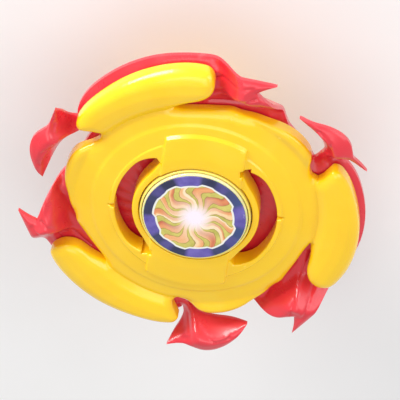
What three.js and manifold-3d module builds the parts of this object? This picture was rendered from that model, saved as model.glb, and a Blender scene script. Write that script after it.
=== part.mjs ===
// Battle-style spinning top with a light core: a bladed ring over a flame ring,
// a steel weight disc, a twist-lock base and a free-turning flat tip.
// Millimetres and degrees, +Z up, the flat of the tip on z = 0, the spin axis on Z.
import * as THREE from "three";
import { mergeVertices } from "three/addons/utils/BufferGeometryUtils.js";
import Module from "manifold-3d";

const wasm = await Module();
wasm.setup();

// ---------------------------------------------------------------- dimensions
const GAP = 0.3; // clearance between neighbouring pieces
const SMALL_GAP = 0.05; // clearance between stacked small parts

// Heights; a pair is [bottom, top].
const Z_TIP_FLANGE = 4.0; // top of the tip's flange
const Z_BASE = Z_TIP_FLANGE + GAP; // lower rim of the base's boss
const Z_BASE_FLOOR = 8.0; // inside floor of the base
const Z_STEM = Z_BASE_FLOOR + GAP; // top of the tip's stem
const Z_CORE = 11.3; // lower rim of the core
const Z_DOOR = [11.5, 12.8];
const Z_CONTACT_PAD = [12.95, 13.25]; // flat pad of the negative contact
const Z_CELLS = 13.4; // underside of the lowest cell
const Z_LUG = [12.9, 15.3]; // bayonet lugs on the core
const Z_LEDGE = [Z_LUG[1] + GAP, 17.7]; // bayonet ledge in the base
const Z_DISC = [Z_LEDGE[1] + GAP, 22.0];
const Z_FLAME = [Z_DISC[1] + GAP, 27.7];
const Z_BLADE = Z_FLAME[1] + GAP; // underside of the bladed ring
const Z_SHOULDER = 30.5; // the core's head sits here on the bladed ring
const Z_WEB = [24.4, 25.2]; // web under the circuit board
const Z_BOARD = [25.3, 26.3];
const Z_PARTS = Z_BOARD[1] + SMALL_GAP; // underside of the parts on the board
const Z_LENS_SEAT = 31.5;
const Z_LENS_TOP = 33.65;
const Z_RIM = 33.2; // top of the core's head rim

// Radii about the spin axis.
const R_TIP_FLAT = 3.6;
const R_STEM = 2.3;
const R_STEM_BORE = R_STEM + GAP;
const R_CORE = 9.6;
const R_CORE_IN = 8.3;
const R_RIB = 11.2; // ribs and lugs on the core
const R_BORE = R_RIB + GAP; // bore of the flame ring and the weight disc
const R_RING_BORE = R_CORE + GAP; // lower bore of the bladed ring
const R_HEAD = 11.0; // head of the core
const R_HEAD_BORE = R_HEAD + GAP; // upper bore of the bladed ring
const R_LENS = 10.45;
const R_EMBLEM = 10.1;
const R_DISC = 18.2;
const R_LUG_CHAMBER = 11.8;
const R_FLAME_BODY = 25.08; // round part of the flame ring

// Features shared by several pieces.
const THIRDS = [0, 120, 240];
const LUG_ANGLES = [90, 210, 330]; // lugs, ribs, key slots and ring screws
const LUG_HALF = 11; // half angle of a lug
const TWIST = 35; // turn of the base from locked to released
const RING_SCREW_R = 20.3;
const DOOR_SCREW_X = 6.75;
const DOOR_SCREWS_X = [-DOOR_SCREW_X, DOOR_SCREW_X];
const CELL = { radius: 3.95, height: 3.55, count: 3 };
const STRIP = { halfWidth: 0.9, y0: 6.7, y1: 7.0 }; // upright strip of the negative contact
const SWITCH_Y = 5.2;

// ------------------------------------------------------------------ materials
const YELLOW = 0xffd42e;
const RED = 0xdc2838;
const STEEL = 0xb9bcc0;
const BRASS = 0xc9a45a;

const MATERIALS = {
  blades: { color: YELLOW, roughness: 0.28 },
  base: { color: YELLOW, roughness: 0.35 },
  flame: { color: RED, roughness: 0.35 },
  tip: { color: RED, roughness: 0.3 },
  core: { color: 0xffe27a, roughness: 0.4, transparent: true, opacity: 0.9 },
  lens: { color: 0xfff6c8, roughness: 0.12, transparent: true, opacity: 0.7 },
  emblem: { color: 0x3a3f70, roughness: 0.45 },
  door: { color: 0x2a2a2e, roughness: 0.5 },
  screw: { color: STEEL, roughness: 0.35, metalness: 0.9 },
  polishedSteel: { color: STEEL, roughness: 0.3, metalness: 0.95 },
  cell: { color: 0xcfd1d4, roughness: 0.25, metalness: 0.95 },
  contact: { color: BRASS, roughness: 0.35, metalness: 0.9 },
  switchPin: { color: BRASS, roughness: 0.3, metalness: 0.9 },
  board: { color: 0x1f7a3a, roughness: 0.5 },
  chip: { color: 0x111214, roughness: 0.3 },
  resistor: { color: 0x1a1a1c, roughness: 0.5 },
  led: { roughness: 0.1, transparent: true, opacity: 0.85 }, // colour set per LED
};

// -------------------------------------------------------------- solid helpers
function polar(radius, angle) {
  const radians = THREE.MathUtils.degToRad(angle);
  return [radius * Math.cos(radians), radius * Math.sin(radians)];
}

// A closed geometry as a solid: shared vertices merged, collapsed faces
// dropped, faces turned outwards.
function solid(geometry) {
  geometry.deleteAttribute("normal");
  geometry.deleteAttribute("uv");
  const merged = mergeVertices(geometry, 1e-4);
  const positions = merged.attributes.position;
  const triangles = [];
  let volume = 0;
  for (let i = 0; i < merged.index.count; i += 3) {
    const corners = [0, 1, 2].map((k) => merged.index.getX(i + k));
    if (new Set(corners).size < 3) continue;
    triangles.push(...corners);
    const [first, second, third] = corners.map((corner) =>
      new THREE.Vector3().fromBufferAttribute(positions, corner),
    );
    volume += first.dot(second.cross(third));
  }
  if (volume < 0) {
    for (let i = 0; i < triangles.length; i += 3) {
      [triangles[i + 1], triangles[i + 2]] = [triangles[i + 2], triangles[i + 1]];
    }
  }
  return new wasm.Manifold(
    new wasm.Mesh({
      numProp: 3,
      vertProperties: positions.array,
      triVerts: new Uint32Array(triangles),
    }),
  );
}

// A profile of [radius, z] points, closed, turned round the Z axis.
function turned(profile, segments) {
  const points = [...profile, profile[0]].map(([radius, z]) => new THREE.Vector2(radius, z));
  return solid(new THREE.LatheGeometry(points, segments).rotateX(Math.PI / 2));
}

// A ring, or a disc where the inner radius is 0.
function ring(inner, outer, z0, z1, segments) {
  return turned([[inner, z0], [outer, z0], [outer, z1], [inner, z1]], segments);
}

function pin([x, y], radius, z0, z1, segments) {
  return ring(0, radius, z0, z1, segments).translate([x, y, 0]);
}

function prism(points, z0, z1) {
  const shape = new THREE.Shape(points.map(([x, y]) => new THREE.Vector2(x, y)));
  const geometry = new THREE.ExtrudeGeometry(shape, { depth: z1 - z0, bevelEnabled: false });
  return solid(geometry.translate(0, 0, z0));
}

function box(x0, x1, y0, y1, z0, z1) {
  const geometry = new THREE.BoxGeometry(x1 - x0, y1 - y0, z1 - z0);
  return solid(geometry.translate((x0 + x1) / 2, (y0 + y1) / 2, (z0 + z1) / 2));
}

// A sector of a ring, as a prism.
function sector(inner, outer, start, end, z0, z1, steps = 6) {
  const angles = Array.from({ length: steps + 1 }, (_, i) => start + ((end - start) * i) / steps);
  const outerArc = angles.map((angle) => polar(outer, angle));
  const innerArc = angles.map((angle) => polar(inner, angle)).reverse();
  return prism([...outerArc, ...innerArc], z0, z1);
}

// Cross-shaped driver recess, to cut from a screw head.
function crossRecess(halfLength, halfWidth, z0, z1) {
  return box(-halfLength, halfLength, -halfWidth, halfWidth, z0, z1).add(
    box(-halfWidth, halfWidth, -halfLength, halfLength, z0, z1),
  );
}

// The upright contact strip, grown in x and y to make the slots it passes through.
function stripBox(growX, growY, z0, z1) {
  const halfWidth = STRIP.halfWidth + growX;
  return box(-halfWidth, halfWidth, STRIP.y0 - growY, STRIP.y1 + growY, z0, z1);
}

// ------------------------------------------------------------ measured outlines
// Columns: radius, angle. The angle is anticlockwise from +X, seen from above.

// One third of the bladed ring, clockwise: notch, blade, free end, gap, edge.
const BLADE_THIRD = [
  [27.056, 44], [26.752, 40.5], [26.068, 37.5], [25.08, 35], [24.32, 31.5],
  [24.168, 28], [25.08, 25.8], [26.296, 26.6], [27.664, 28.4], [28.88, 29.8],
  [29.944, 29], [30.628, 26.5], [31.312, 20], [31.92, 10], [32.68, 0],
  [33.212, -10], [33.44, -18], [33.288, -24], [32.832, -27.3], [31.54, -29.2],
  [29.488, -29.9], [27.588, -28.6], [26.296, -25.6], [25.688, -22], [25.232, -18.5],
  [24.548, -14.8], [24.016, -12.3], [23.56, -15.5], [23.484, -21.5], [23.712, -28],
  [24.092, -34], [24.7, -39], [24.472, -44], [25.156, -50], [25.536, -56],
  [26.524, -63], [27.056, -70],
];
// One flame wing under each blade, with its barb and its hidden inner edge.
const WING = [
  [28.88, 152], [30.78, 148], [32.224, 140], [32.984, 130], [33.592, 120],
  [33.896, 110], [33.744, 100], [33.668, 92], [33.82, 86], [34.2, 80],
  [35.34, 70.8], [33.592, 73.6], [32.072, 75.6], [31.312, 73], [30.552, 69.4],
  [29.564, 65.8], [28.424, 62.6], [27.284, 59.6], [26.144, 56.2], [25.232, 52.5],
  [25.08, 44], [25.08, 38], [18.24, 40], [18.24, 60], [18.24, 80],
  [18.24, 100], [18.24, 120], [18.24, 140], [21.28, 152],
];
// One bird-shaped flame in each notch, with its stem.
const BIRD = [
  [21.28, 33], [25.232, 31.8], [26.6, 33.4], [27.968, 35.5], [29.184, 38.5],
  [29.792, 42.5], [30.02, 46.5], [30.248, 51], [30.856, 56.8], [32.072, 53.8],
  [33.516, 50.2], [34.732, 46.8], [35.568, 43], [35.644, 39.5], [34.96, 36.5],
  [34.352, 34], [34.808, 31], [35.568, 27.5], [33.896, 28.8], [32.376, 30.6],
  [31.008, 31.6], [29.792, 31.4], [28.424, 30.2], [26.904, 28.8], [25.384, 27.8],
  [21.28, 26.5],
];

function placed(outline, turn) {
  return outline.map(([radius, angle]) => polar(radius, angle + turn));
}

// One corner-cutting pass that keeps corners sharper than 50 degrees.
function soften(points) {
  const sharpest = THREE.MathUtils.degToRad(50);
  const toward = (from, to) => [from[0] * 0.75 + to[0] * 0.25, from[1] * 0.75 + to[1] * 0.25];
  return points.flatMap((point, i) => {
    const previous = points.at(i - 1);
    const next = points[(i + 1) % points.length];
    const headingIn = Math.atan2(point[1] - previous[1], point[0] - previous[0]);
    const headingOut = Math.atan2(next[1] - point[1], next[0] - point[0]);
    const change = headingOut - headingIn;
    const bend = Math.abs(Math.atan2(Math.sin(change), Math.cos(change)));
    return bend > sharpest ? [point] : [toward(point, previous), toward(point, next)];
  });
}

const bladeOutline = soften(THIRDS.flatMap((turn) => placed(BLADE_THIRD, -turn)));

// ----------------------------------------------------------------- bladed ring
const WINDOW = { inner: 12.6, outer: 16.1, start: -52, end: 54, steps: 14 };
const Z_WINDOW_CUT = [27, 35];
// Raised band along Y: sides straight to y = straight, then drawn in by taper.
const BAND = { halfWidth: 8.0, taper: 0.8, straight: 15, end: 20, radius: 18.6 };

function raisedBand() {
  const { halfWidth, straight, end, radius } = BAND;
  const endHalfWidth = halfWidth - BAND.taper;
  const round = turned([
    [R_HEAD_BORE, 30], [radius, 30], [radius, 32.1],
    [radius - 0.6, 32.6], [13.6, 33.05], [R_HEAD_BORE, 33.1],
  ], 54);
  const plan = [
    [-endHalfWidth, -end], [endHalfWidth, -end], [halfWidth, -straight], [halfWidth, straight],
    [endHalfWidth, end], [-endHalfWidth, end], [-halfWidth, straight], [-halfWidth, -straight],
  ];
  return round.intersect(prism(plan, 29, 34));
}

// Cutters for one launcher window: a tapered crescent, a small notch in its
// outer edge and a slanted slot at its anticlockwise end.
function windowCutters(turn) {
  const { inner, outer, start, end, steps } = WINDOW;
  const outerEdge = [];
  const innerEdge = [];
  for (let i = 0; i <= steps; i++) {
    const along = i / steps;
    const angle = start + (end - start) * along + turn;
    const fullness = Math.min(1, Math.min(along, 1 - along) * 6);
    const pinch = (1 - fullness) ** 2;
    outerEdge.push(polar(outer - 1.3 * pinch, angle));
    innerEdge.push(polar(inner + 1.0 * pinch, angle));
  }
  const notch = [[outer - 0.6, 3], [outer + 1.2, 6], [outer - 0.6, 9]];
  const endSlot = [[outer - 1.4, 50], [outer - 0.4, 53.5], [inner + 1.5, 58.5], [inner + 0.6, 55]];
  return [
    [...outerEdge, ...innerEdge.reverse()],
    placed(notch, turn),
    placed(endSlot, turn),
  ].map((points) => prism(points, ...Z_WINDOW_CUT));
}

function bladedRing() {
  const keySlotHalf = 13;
  const section = turned([
    [R_RING_BORE, Z_BLADE], [36, Z_BLADE], [36, 29.9], [33.4, 30.5], [32.2, 31.3],
    [30.4, 31.8], [28.2, 31.9], [26.0, 31.5], [24.6, 30.9], [22.6, 31.2],
    [20.9, 31.3], [20.6, 31.6], [17.2, 31.9], [16.9, 32.2], [12.6, 32.6],
    [R_HEAD_BORE, 32.7], [R_HEAD_BORE, Z_SHOULDER], [R_RING_BORE, Z_SHOULDER],
  ], 54);
  let body = prism(bladeOutline, Z_BLADE - 1, 34).intersect(section).add(raisedBand());
  for (const turn of [0, 180]) {
    for (const cutter of windowCutters(turn)) body = body.subtract(cutter);
  }
  // key slots for the core's ribs and pilot holes for the ring screws
  const cutSpan = [Z_BLADE - 1, Z_SHOULDER];
  for (const angle of LUG_ANGLES) {
    body = body
      .subtract(
        sector(R_RING_BORE - 1, R_BORE, angle - keySlotHalf, angle + keySlotHalf, ...cutSpan),
      )
      .subtract(pin(polar(RING_SCREW_R, angle), 1.0, ...cutSpan, 16));
  }
  return body;
}

// ------------------------------------------------------------------ flame ring
// The flames turn up as they leave the blades, so their points stand level
// with the top of the bladed ring.
const LIFT = {
  height: 6.0,
  start: 0.5, // distance beyond the blades where the rise starts
  run: 5.5, // further distance to the full height
  radius: 25.3, // nothing inside this radius rises
  radialRun: 3.5, // radial distance over which the rise fades in
};

// How far a point lies outside the bladed ring's outline, zero inside it.
function beyondBlades(x, y) {
  let inside = false;
  let nearest = Infinity;
  bladeOutline.forEach(([startX, startY], i) => {
    const [endX, endY] = bladeOutline[(i + 1) % bladeOutline.length];
    const edgeX = endX - startX;
    const edgeY = endY - startY;
    if (startY > y !== endY > y && x < (edgeX * (y - startY)) / edgeY + startX) inside = !inside;
    const projection =
      ((x - startX) * edgeX + (y - startY) * edgeY) / (edgeX * edgeX + edgeY * edgeY);
    const along = Math.max(0, Math.min(1, projection));
    const distance = Math.hypot(x - startX - along * edgeX, y - startY - along * edgeY);
    nearest = Math.min(nearest, distance);
  });
  return inside ? 0 : nearest;
}

function flameLift(x, y) {
  return (
    LIFT.height *
    THREE.MathUtils.smoothstep((beyondBlades(x, y) - LIFT.start) / LIFT.run, 0, 1) *
    THREE.MathUtils.smoothstep((Math.hypot(x, y) - LIFT.radius) / LIFT.radialRun, 0, 1)
  );
}

function flameRing() {
  const planSpan = [20, 30]; // taller than the section that trims it
  let plan = ring(R_BORE, R_FLAME_BODY, ...planSpan, 54);
  for (const turn of THIRDS) {
    for (const outline of [WING, BIRD]) {
      plan = plan.add(prism(soften(placed(outline, turn)), ...planSpan));
    }
  }
  const section = turned([
    [R_BORE, Z_FLAME[0]], [19.0, Z_FLAME[0]], [22.4, Z_FLAME[0]], [23.2, 24.6],
    [37, 25.2], [37, 26.6], [34, 27.3], [30, Z_FLAME[1]],
    [17.4, Z_FLAME[1]], [16.9, 27.0], [R_BORE, 27.0],
  ], 54);
  // refined first so that the flames bend smoothly
  let body = plan
    .intersect(section)
    .refineToLength(2.0)
    .warp((vertex) => {
      vertex[2] += flameLift(vertex[0], vertex[1]);
    })
    .simplify(0.02);
  // screw holes with counterbores from below
  for (const angle of LUG_ANGLES) {
    const place = polar(RING_SCREW_R, angle);
    body = body
      .subtract(pin(place, 1.1, 21, 29, 16))
      .subtract(pin(place, 1.95, 21, 24.4, 20));
  }
  return body;
}

function ringScrew(angle) {
  const [x, y] = polar(RING_SCREW_R, angle);
  return turned([
    [0, 22.5], [0.9, 22.5], [1.6, 23.0], [1.6, 24.3],
    [0.75, 24.3], [0.75, 29.4], [0.2, 30.3], [0, 30.3],
  ], 20)
    .subtract(crossRecess(1.1, 0.2, 22, 23.2))
    .translate([x, y, 0]);
}

// ----------------------------------------------------------------- weight disc
function weightDisc() {
  const chamfer = 0.5;
  const [bottom, top] = Z_DISC;
  let body = turned([
    [R_BORE, bottom], [R_DISC - chamfer, bottom], [R_DISC, bottom + chamfer],
    [R_DISC, top - chamfer], [R_DISC - chamfer, top], [R_BORE, top],
  ], 54);
  // six scallops in the rim
  for (let i = 0; i < 6; i++) {
    body = body.subtract(pin(polar(R_DISC + 1.6, 30 + 60 * i), 3.0, 17, 23, 20));
  }
  return body;
}

// -------------------------------------------------------- core, lens and emblem
function coreHousing() {
  const headBottom = Z_SHOULDER + 0.1;
  const rimChamfer = 0.15;
  const lensBore = R_LENS + 0.15;
  const postTop = Z_WEB[0] + 0.2; // posts and cell tube run into the web
  let body = turned([
    [R_CORE_IN, Z_CORE], [R_CORE, Z_CORE], [R_CORE, headBottom], [R_HEAD, headBottom],
    [R_HEAD, Z_RIM - rimChamfer], [R_HEAD - rimChamfer, Z_RIM], [lensBore, Z_RIM],
    [lensBore, Z_LENS_SEAT], [R_CORE_IN, Z_LENS_SEAT],
  ], 48)
    .add(ring(3.0, R_CORE_IN + 0.4, ...Z_WEB, 36))
    .add(ring(4.2, 5.2, 13.5, postTop, 36)); // tube round the cells
  for (const x of DOOR_SCREWS_X) {
    body = body
      .add(pin([x, 0], 1.8, 13.0, postTop, 20))
      .subtract(pin([x, 0], 0.95, 12.5, 20, 16));
  }
  // a bayonet lug with a key rib above it, three times round
  const ribSpan = [Z_DISC[0] + 0.1, Z_SHOULDER - 0.2];
  for (const angle of LUG_ANGLES) {
    for (const span of [Z_LUG, ribSpan]) {
      body = body.add(sector(R_CORE - 0.6, R_RIB, angle - LUG_HALF, angle + LUG_HALF, ...span));
    }
  }
  return body.subtract(stripBox(0.4, 0.3, 24, 26));
}

function lightLens() {
  const spigot = R_CORE_IN - 0.2; // lower part, inside the core
  const flangeBottom = Z_LENS_SEAT + 0.1;
  const chamfer = 0.3;
  return turned([
    [0, 31.2], [spigot, 31.2], [spigot, flangeBottom], [R_LENS, flangeBottom],
    [R_LENS, Z_LENS_TOP - chamfer], [R_LENS - chamfer, Z_LENS_TOP], [0, Z_LENS_TOP],
  ], 48);
}

function emblemSticker() {
  const bottom = Z_LENS_TOP + SMALL_GAP;
  return ring(0, R_EMBLEM, bottom, bottom + 0.2, 48);
}

// ------------------------------------------------------- board and its parts
const LEDS = [
  { angle: 30, color: 0xff4a3a },
  { angle: 150, color: 0xffe9c0 },
  { angle: 270, color: 0x5a7bff },
];
const LED_R = 4.9;
const SPRING = { radius: 1.15, wire: 0.17, turns: 6, bottom: 26.85, pitch: 0.57 };

function circuitBoard() {
  return ring(0, 8.05, ...Z_BOARD, 48).subtract(stripBox(0.1, 0.25, 25, 27));
}

function chipBlob() {
  return turned([
    [0, Z_PARTS], [1.9, Z_PARTS], [1.75, 26.75], [1.3, 27.1], [0.7, 27.3], [0, 27.35],
  ], 24);
}

function limitResistor() {
  return box(-1.6, 1.6, -0.8, 0.8, Z_PARTS, Z_PARTS + 0.6)
    .rotate([0, 0, 120])
    .translate([...polar(5.3, 210), 0]);
}

function led(angle) {
  return turned([
    [0, Z_PARTS], [1.9, Z_PARTS], [1.9, 27.2], [1.5, 27.2], [1.5, 29.4],
    [1.38, 30.0], [1.06, 30.5], [0.57, 30.83], [0, 30.9],
  ], 18).translate([...polar(LED_R, angle), 0]);
}

function switchPin() {
  return turned([
    [0, Z_PARTS], [0.6, Z_PARTS], [0.6, 26.5], [0.28, 26.6],
    [0.28, 30.3], [0.18, 30.5], [0, 30.5],
  ], 16).translate([0, SWITCH_Y, 0]);
}

class Coil extends THREE.Curve {
  getPoint(t, target = new THREE.Vector3()) {
    const turns = t * SPRING.turns;
    const angle = turns * 2 * Math.PI;
    return target.set(
      SPRING.radius * Math.cos(angle),
      SPRING.radius * Math.sin(angle),
      turns * SPRING.pitch,
    );
  }
}

function switchSpring() {
  const wireSides = 5;
  const wire = new THREE.Shape(
    Array.from(
      { length: wireSides },
      (_, i) => new THREE.Vector2(...polar(SPRING.wire, (i * 360) / wireSides)),
    ),
  );
  const geometry = new THREE.ExtrudeGeometry(wire, {
    extrudePath: new Coil(),
    steps: SPRING.turns * 12,
    bevelEnabled: false,
  });
  return solid(geometry).translate([0, SWITCH_Y, SPRING.bottom]);
}

// ---------------------------------------------------------- cells and contacts
function buttonCell(index) {
  const { radius, height } = CELL;
  const bottom = Z_CELLS + index * (height + SMALL_GAP);
  const top = bottom + height;
  return turned([
    [0, bottom], [3.0, bottom], [3.2, bottom + 0.25], [3.7, bottom + 0.3],
    [radius, bottom + 0.55], [radius, top - 0.3], [radius - 0.3, top], [0, top],
  ], 24);
}

function positiveContact() {
  return turned([
    [0, 24.25], [2.4, 24.25], [2.6, 24.45], [0.6, 24.6], [0.6, 25.2], [0, 25.2],
  ], 24);
}

// A round pad under the cells, an arm along +Y and a strip up to the board.
function negativeContact() {
  return ring(0, 3.4, ...Z_CONTACT_PAD, 32)
    .add(box(-STRIP.halfWidth, STRIP.halfWidth, 2.5, STRIP.y1, ...Z_CONTACT_PAD))
    .add(stripBox(0, 0, Z_CONTACT_PAD[0], 26.2));
}

// ---------------------------------------------------------------- battery door
function batteryDoor() {
  let body = ring(0, R_CORE_IN - 0.2, ...Z_DOOR, 48);
  for (const x of DOOR_SCREWS_X) {
    body = body
      .subtract(pin([x, 0], 1.0, 11, 13, 16))
      .subtract(pin([x, 0], 1.35, 11.2, 12.1, 20));
  }
  return body;
}

function doorScrew(x) {
  return turned([
    [0, 11.55], [1.1, 11.55], [1.2, 11.65], [1.2, 12.0],
    [0.7, 12.0], [0.7, 17.6], [0.2, 18.4], [0, 18.4],
  ], 20)
    .subtract(crossRecess(0.75, 0.15, 11, 11.85))
    .translate([x, 0, 0]);
}

// ------------------------------------------------------------------ base shell
function baseShell() {
  const slotHalf = 14;
  const stopWidth = 4;
  const [ledgeBottom, ledgeTop] = Z_LEDGE;
  let body = turned([
    [R_STEM_BORE, Z_BASE], [4.4, Z_BASE], [5.0, 4.8], [5.6, 6.2], [9.2, 8.2],
    [12.2, 10.6], [13.8, 13.6], [14.5, 16.4], [15.4, 16.8], [15.4, ledgeTop],
    [R_RING_BORE, ledgeTop], [R_RING_BORE, ledgeBottom], [R_LUG_CHAMBER, ledgeBottom],
    [R_LUG_CHAMBER, 12.2], [10.4, 10.8], [7.6, Z_BASE_FLOOR], [R_STEM_BORE, Z_BASE_FLOOR],
  ], 48);
  for (const angle of LUG_ANGLES) {
    // the slot that lets the lug through once the base has turned by TWIST
    const released = angle - TWIST;
    const slotSpan = [ledgeBottom - 0.1, ledgeTop + 1];
    body = body.subtract(
      sector(R_RING_BORE - 1, 11.6, released - slotHalf, released + slotHalf, ...slotSpan, 8),
    );
    // stops on either side of the lug's travel
    for (const start of [angle + 12.5, released - 19]) {
      body = body.add(
        sector(10.3, R_LUG_CHAMBER + 0.3, start, start + stopWidth, 13.2, 15.9, 2),
      );
    }
  }
  // twelve scallops round the outside
  for (let i = 0; i < 12; i++) {
    body = body.subtract(pin(polar(15.2, 15 + 30 * i), 1.5, 9, 16.3, 12));
  }
  return body;
}

// ------------------------------------------------------------------------- tip
function spinTip() {
  const screwBore = 1.25;
  const boreFloor = 2.8;
  return turned([
    [0, 0], [R_TIP_FLAT, 0], [4.1, 0.6], [4.2, 1.8], [3.7, 3.2], [3.3, Z_TIP_FLANGE],
    [R_STEM, Z_TIP_FLANGE], [R_STEM, Z_STEM], [screwBore, Z_STEM],
    [screwBore, boreFloor], [0, boreFloor],
  ], 36);
}

function tipWasher() {
  const bottom = Z_STEM + SMALL_GAP;
  return ring(1.3, 4.2, bottom, bottom + 0.4, 32);
}

function tipScrew() {
  return turned([
    [0, 3.2], [0.3, 3.2], [1.0, 4.2], [1.0, 8.8], [2.2, 8.8],
    [2.2, 9.7], [1.6, 10.3], [0, 10.3],
  ], 24).subtract(crossRecess(1.2, 0.25, 9.5, 11));
}

// -------------------------------------------------------------------- assembly
const group = new THREE.Group();
group.name = "light_up_spinning_top";

function add(name, body, material) {
  const { vertProperties, triVerts } = body.getMesh();
  const geometry = new THREE.BufferGeometry();
  geometry.setAttribute("position", new THREE.Float32BufferAttribute(vertProperties, 3));
  geometry.setIndex(new THREE.Uint32BufferAttribute(triVerts, 1));
  geometry.computeVertexNormals();
  const mesh = new THREE.Mesh(
    geometry,
    new THREE.MeshStandardMaterial({ flatShading: true, ...material }),
  );
  mesh.name = name;
  group.add(mesh);
}

add("attack_ring", bladedRing(), MATERIALS.blades);
add("flame_ring", flameRing(), MATERIALS.flame);
LUG_ANGLES.forEach((angle, i) => {
  add(`ring_screw_${i + 1}`, ringScrew(angle), MATERIALS.screw);
});
add("weight_disc", weightDisc(), MATERIALS.polishedSteel);
add("core_housing", coreHousing(), MATERIALS.core);
add("light_lens", lightLens(), MATERIALS.lens);
add("emblem_sticker", emblemSticker(), MATERIALS.emblem);
add("circuit_board", circuitBoard(), MATERIALS.board);
add("chip_blob", chipBlob(), MATERIALS.chip);
add("limit_resistor", limitResistor(), MATERIALS.resistor);
LEDS.forEach(({ angle, color }, i) => {
  add(`led_${i + 1}`, led(angle), { ...MATERIALS.led, color });
});
add("switch_pin", switchPin(), MATERIALS.switchPin);
add("switch_spring", switchSpring(), MATERIALS.polishedSteel);
for (let i = 0; i < CELL.count; i++) {
  add(`button_cell_${i + 1}`, buttonCell(i), MATERIALS.cell);
}
add("battery_contact_positive", positiveContact(), MATERIALS.contact);
add("battery_contact_negative", negativeContact(), MATERIALS.contact);
add("battery_door", batteryDoor(), MATERIALS.door);
DOOR_SCREWS_X.forEach((x, i) => {
  add(`door_screw_${i + 1}`, doorScrew(x), MATERIALS.screw);
});
add("base_shell", baseShell(), MATERIALS.base);
add("spin_tip", spinTip(), MATERIALS.tip);
add("tip_washer", tipWasher(), MATERIALS.polishedSteel);
add("tip_screw", tipScrew(), MATERIALS.screw);

export default group;
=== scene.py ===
import math

import bmesh
import bpy
import numpy as np
from mathutils import Matrix, Vector, kdtree
from mathutils.geometry import delaunay_2d_cdt


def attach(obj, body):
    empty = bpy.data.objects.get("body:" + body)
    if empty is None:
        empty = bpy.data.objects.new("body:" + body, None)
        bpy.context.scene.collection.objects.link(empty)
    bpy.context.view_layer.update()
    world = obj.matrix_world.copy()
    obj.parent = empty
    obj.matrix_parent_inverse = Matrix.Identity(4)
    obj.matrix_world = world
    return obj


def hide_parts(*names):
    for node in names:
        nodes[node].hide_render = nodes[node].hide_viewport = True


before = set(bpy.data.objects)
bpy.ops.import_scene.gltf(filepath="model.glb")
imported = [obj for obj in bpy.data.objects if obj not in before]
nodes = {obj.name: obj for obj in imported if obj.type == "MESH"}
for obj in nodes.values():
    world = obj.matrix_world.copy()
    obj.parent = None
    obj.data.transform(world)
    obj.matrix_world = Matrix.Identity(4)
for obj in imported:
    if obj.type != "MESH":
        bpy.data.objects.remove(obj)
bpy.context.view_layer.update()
MM = 0.001
U = 0.76  # millimetres per outline unit
RNG = np.random.default_rng(7)
scene = bpy.context.scene


# ------------------------------------------------------------------ outlines
def pol(r, a):
    return (r * math.cos(math.radians(a)), r * math.sin(math.radians(a)))


BLADE_THIRD = [
    (35.6, 44), (35.2, 40.5), (34.3, 37.5), (33.0, 35.0), (32.0, 31.5),
    (31.8, 28.0), (33.0, 25.8), (34.6, 26.6), (36.4, 28.4), (38.0, 29.8),
    (39.4, 29.0), (40.3, 26.5), (41.2, 20), (42.0, 10), (43.0, 0),
    (43.7, -10), (44.0, -18), (43.8, -24), (43.2, -27.3), (41.5, -29.2),
    (38.8, -29.9), (36.3, -28.6), (34.6, -25.6), (33.8, -22), (33.2, -18.5),
    (32.3, -14.8), (31.6, -12.3), (31.0, -15.5), (30.9, -21.5), (31.2, -28),
    (31.7, -34), (32.5, -39), (32.2, -44), (33.1, -50), (33.6, -56),
    (34.9, -63), (35.6, -70),
]
WING = [
    (38.0, 152), (40.5, 148), (42.4, 140), (43.4, 130), (44.2, 120),
    (44.6, 110), (44.4, 100), (44.3, 92), (44.5, 86), (45.0, 80),
    (46.5, 70.8), (44.2, 73.6), (42.2, 75.6), (41.2, 73), (40.2, 69.4),
    (38.9, 65.8), (37.4, 62.6), (35.9, 59.6), (34.4, 56.2), (33.2, 52.5),
    (33.0, 44), (33.0, 38), (24.0, 40), (24.0, 60), (24.0, 80),
    (24.0, 100), (24.0, 120), (24.0, 140), (28.0, 152),
]
BIRD = [
    (28.0, 33.0), (33.2, 31.8), (35.0, 33.4), (36.8, 35.5), (38.4, 38.5),
    (39.2, 42.5), (39.5, 46.5), (39.8, 51), (40.6, 56.8), (42.2, 53.8),
    (44.1, 50.2), (45.7, 46.8), (46.8, 43), (46.9, 39.5), (46.0, 36.5),
    (45.2, 34), (45.8, 31), (46.8, 27.5), (44.6, 28.8), (42.6, 30.6),
    (40.8, 31.6), (39.2, 31.4), (37.4, 30.2), (35.4, 28.8), (33.4, 27.8),
    (28.0, 26.5),
]
WINDOW_R = (12.6, 16.1)
WINDOW_ARC = (-52, 54)
BAND_HALF, BAND_R = 8.0, 18.6
KEYS = (90, 210, 330)


def at(points, turn):
    return [pol(r * U, a + turn) for r, a in points]


def soften(points, keep=50):
    """One corner-cutting pass that keeps corners sharper than keep degrees."""
    out = []
    n = len(points)
    for i in range(n):
        a, b, c = points[i - 1], points[i], points[(i + 1) % n]
        t0 = math.atan2(b[1] - a[1], b[0] - a[0])
        t1 = math.atan2(c[1] - b[1], c[0] - b[0])
        turn = abs(math.degrees(math.atan2(math.sin(t1 - t0), math.cos(t1 - t0))))
        if turn > keep:
            out.append(b)
            continue
        out.append((b[0] * 0.75 + a[0] * 0.25, b[1] * 0.75 + a[1] * 0.25))
        out.append((b[0] * 0.75 + c[0] * 0.25, b[1] * 0.75 + c[1] * 0.25))
    return out


def area(points):
    p = np.array(points)
    q = np.roll(p, -1, 0)
    return 0.5 * float(np.sum(p[:, 0] * q[:, 1] - q[:, 0] * p[:, 1]))


def ccw(points):
    return list(points) if area(points) > 0 else list(points)[::-1]


def circle(r, n=160, cx=0.0, cy=0.0):
    return [
        (cx + r * math.cos(2 * math.pi * k / n), cy + r * math.sin(2 * math.pi * k / n))
        for k in range(n)
    ]


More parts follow.
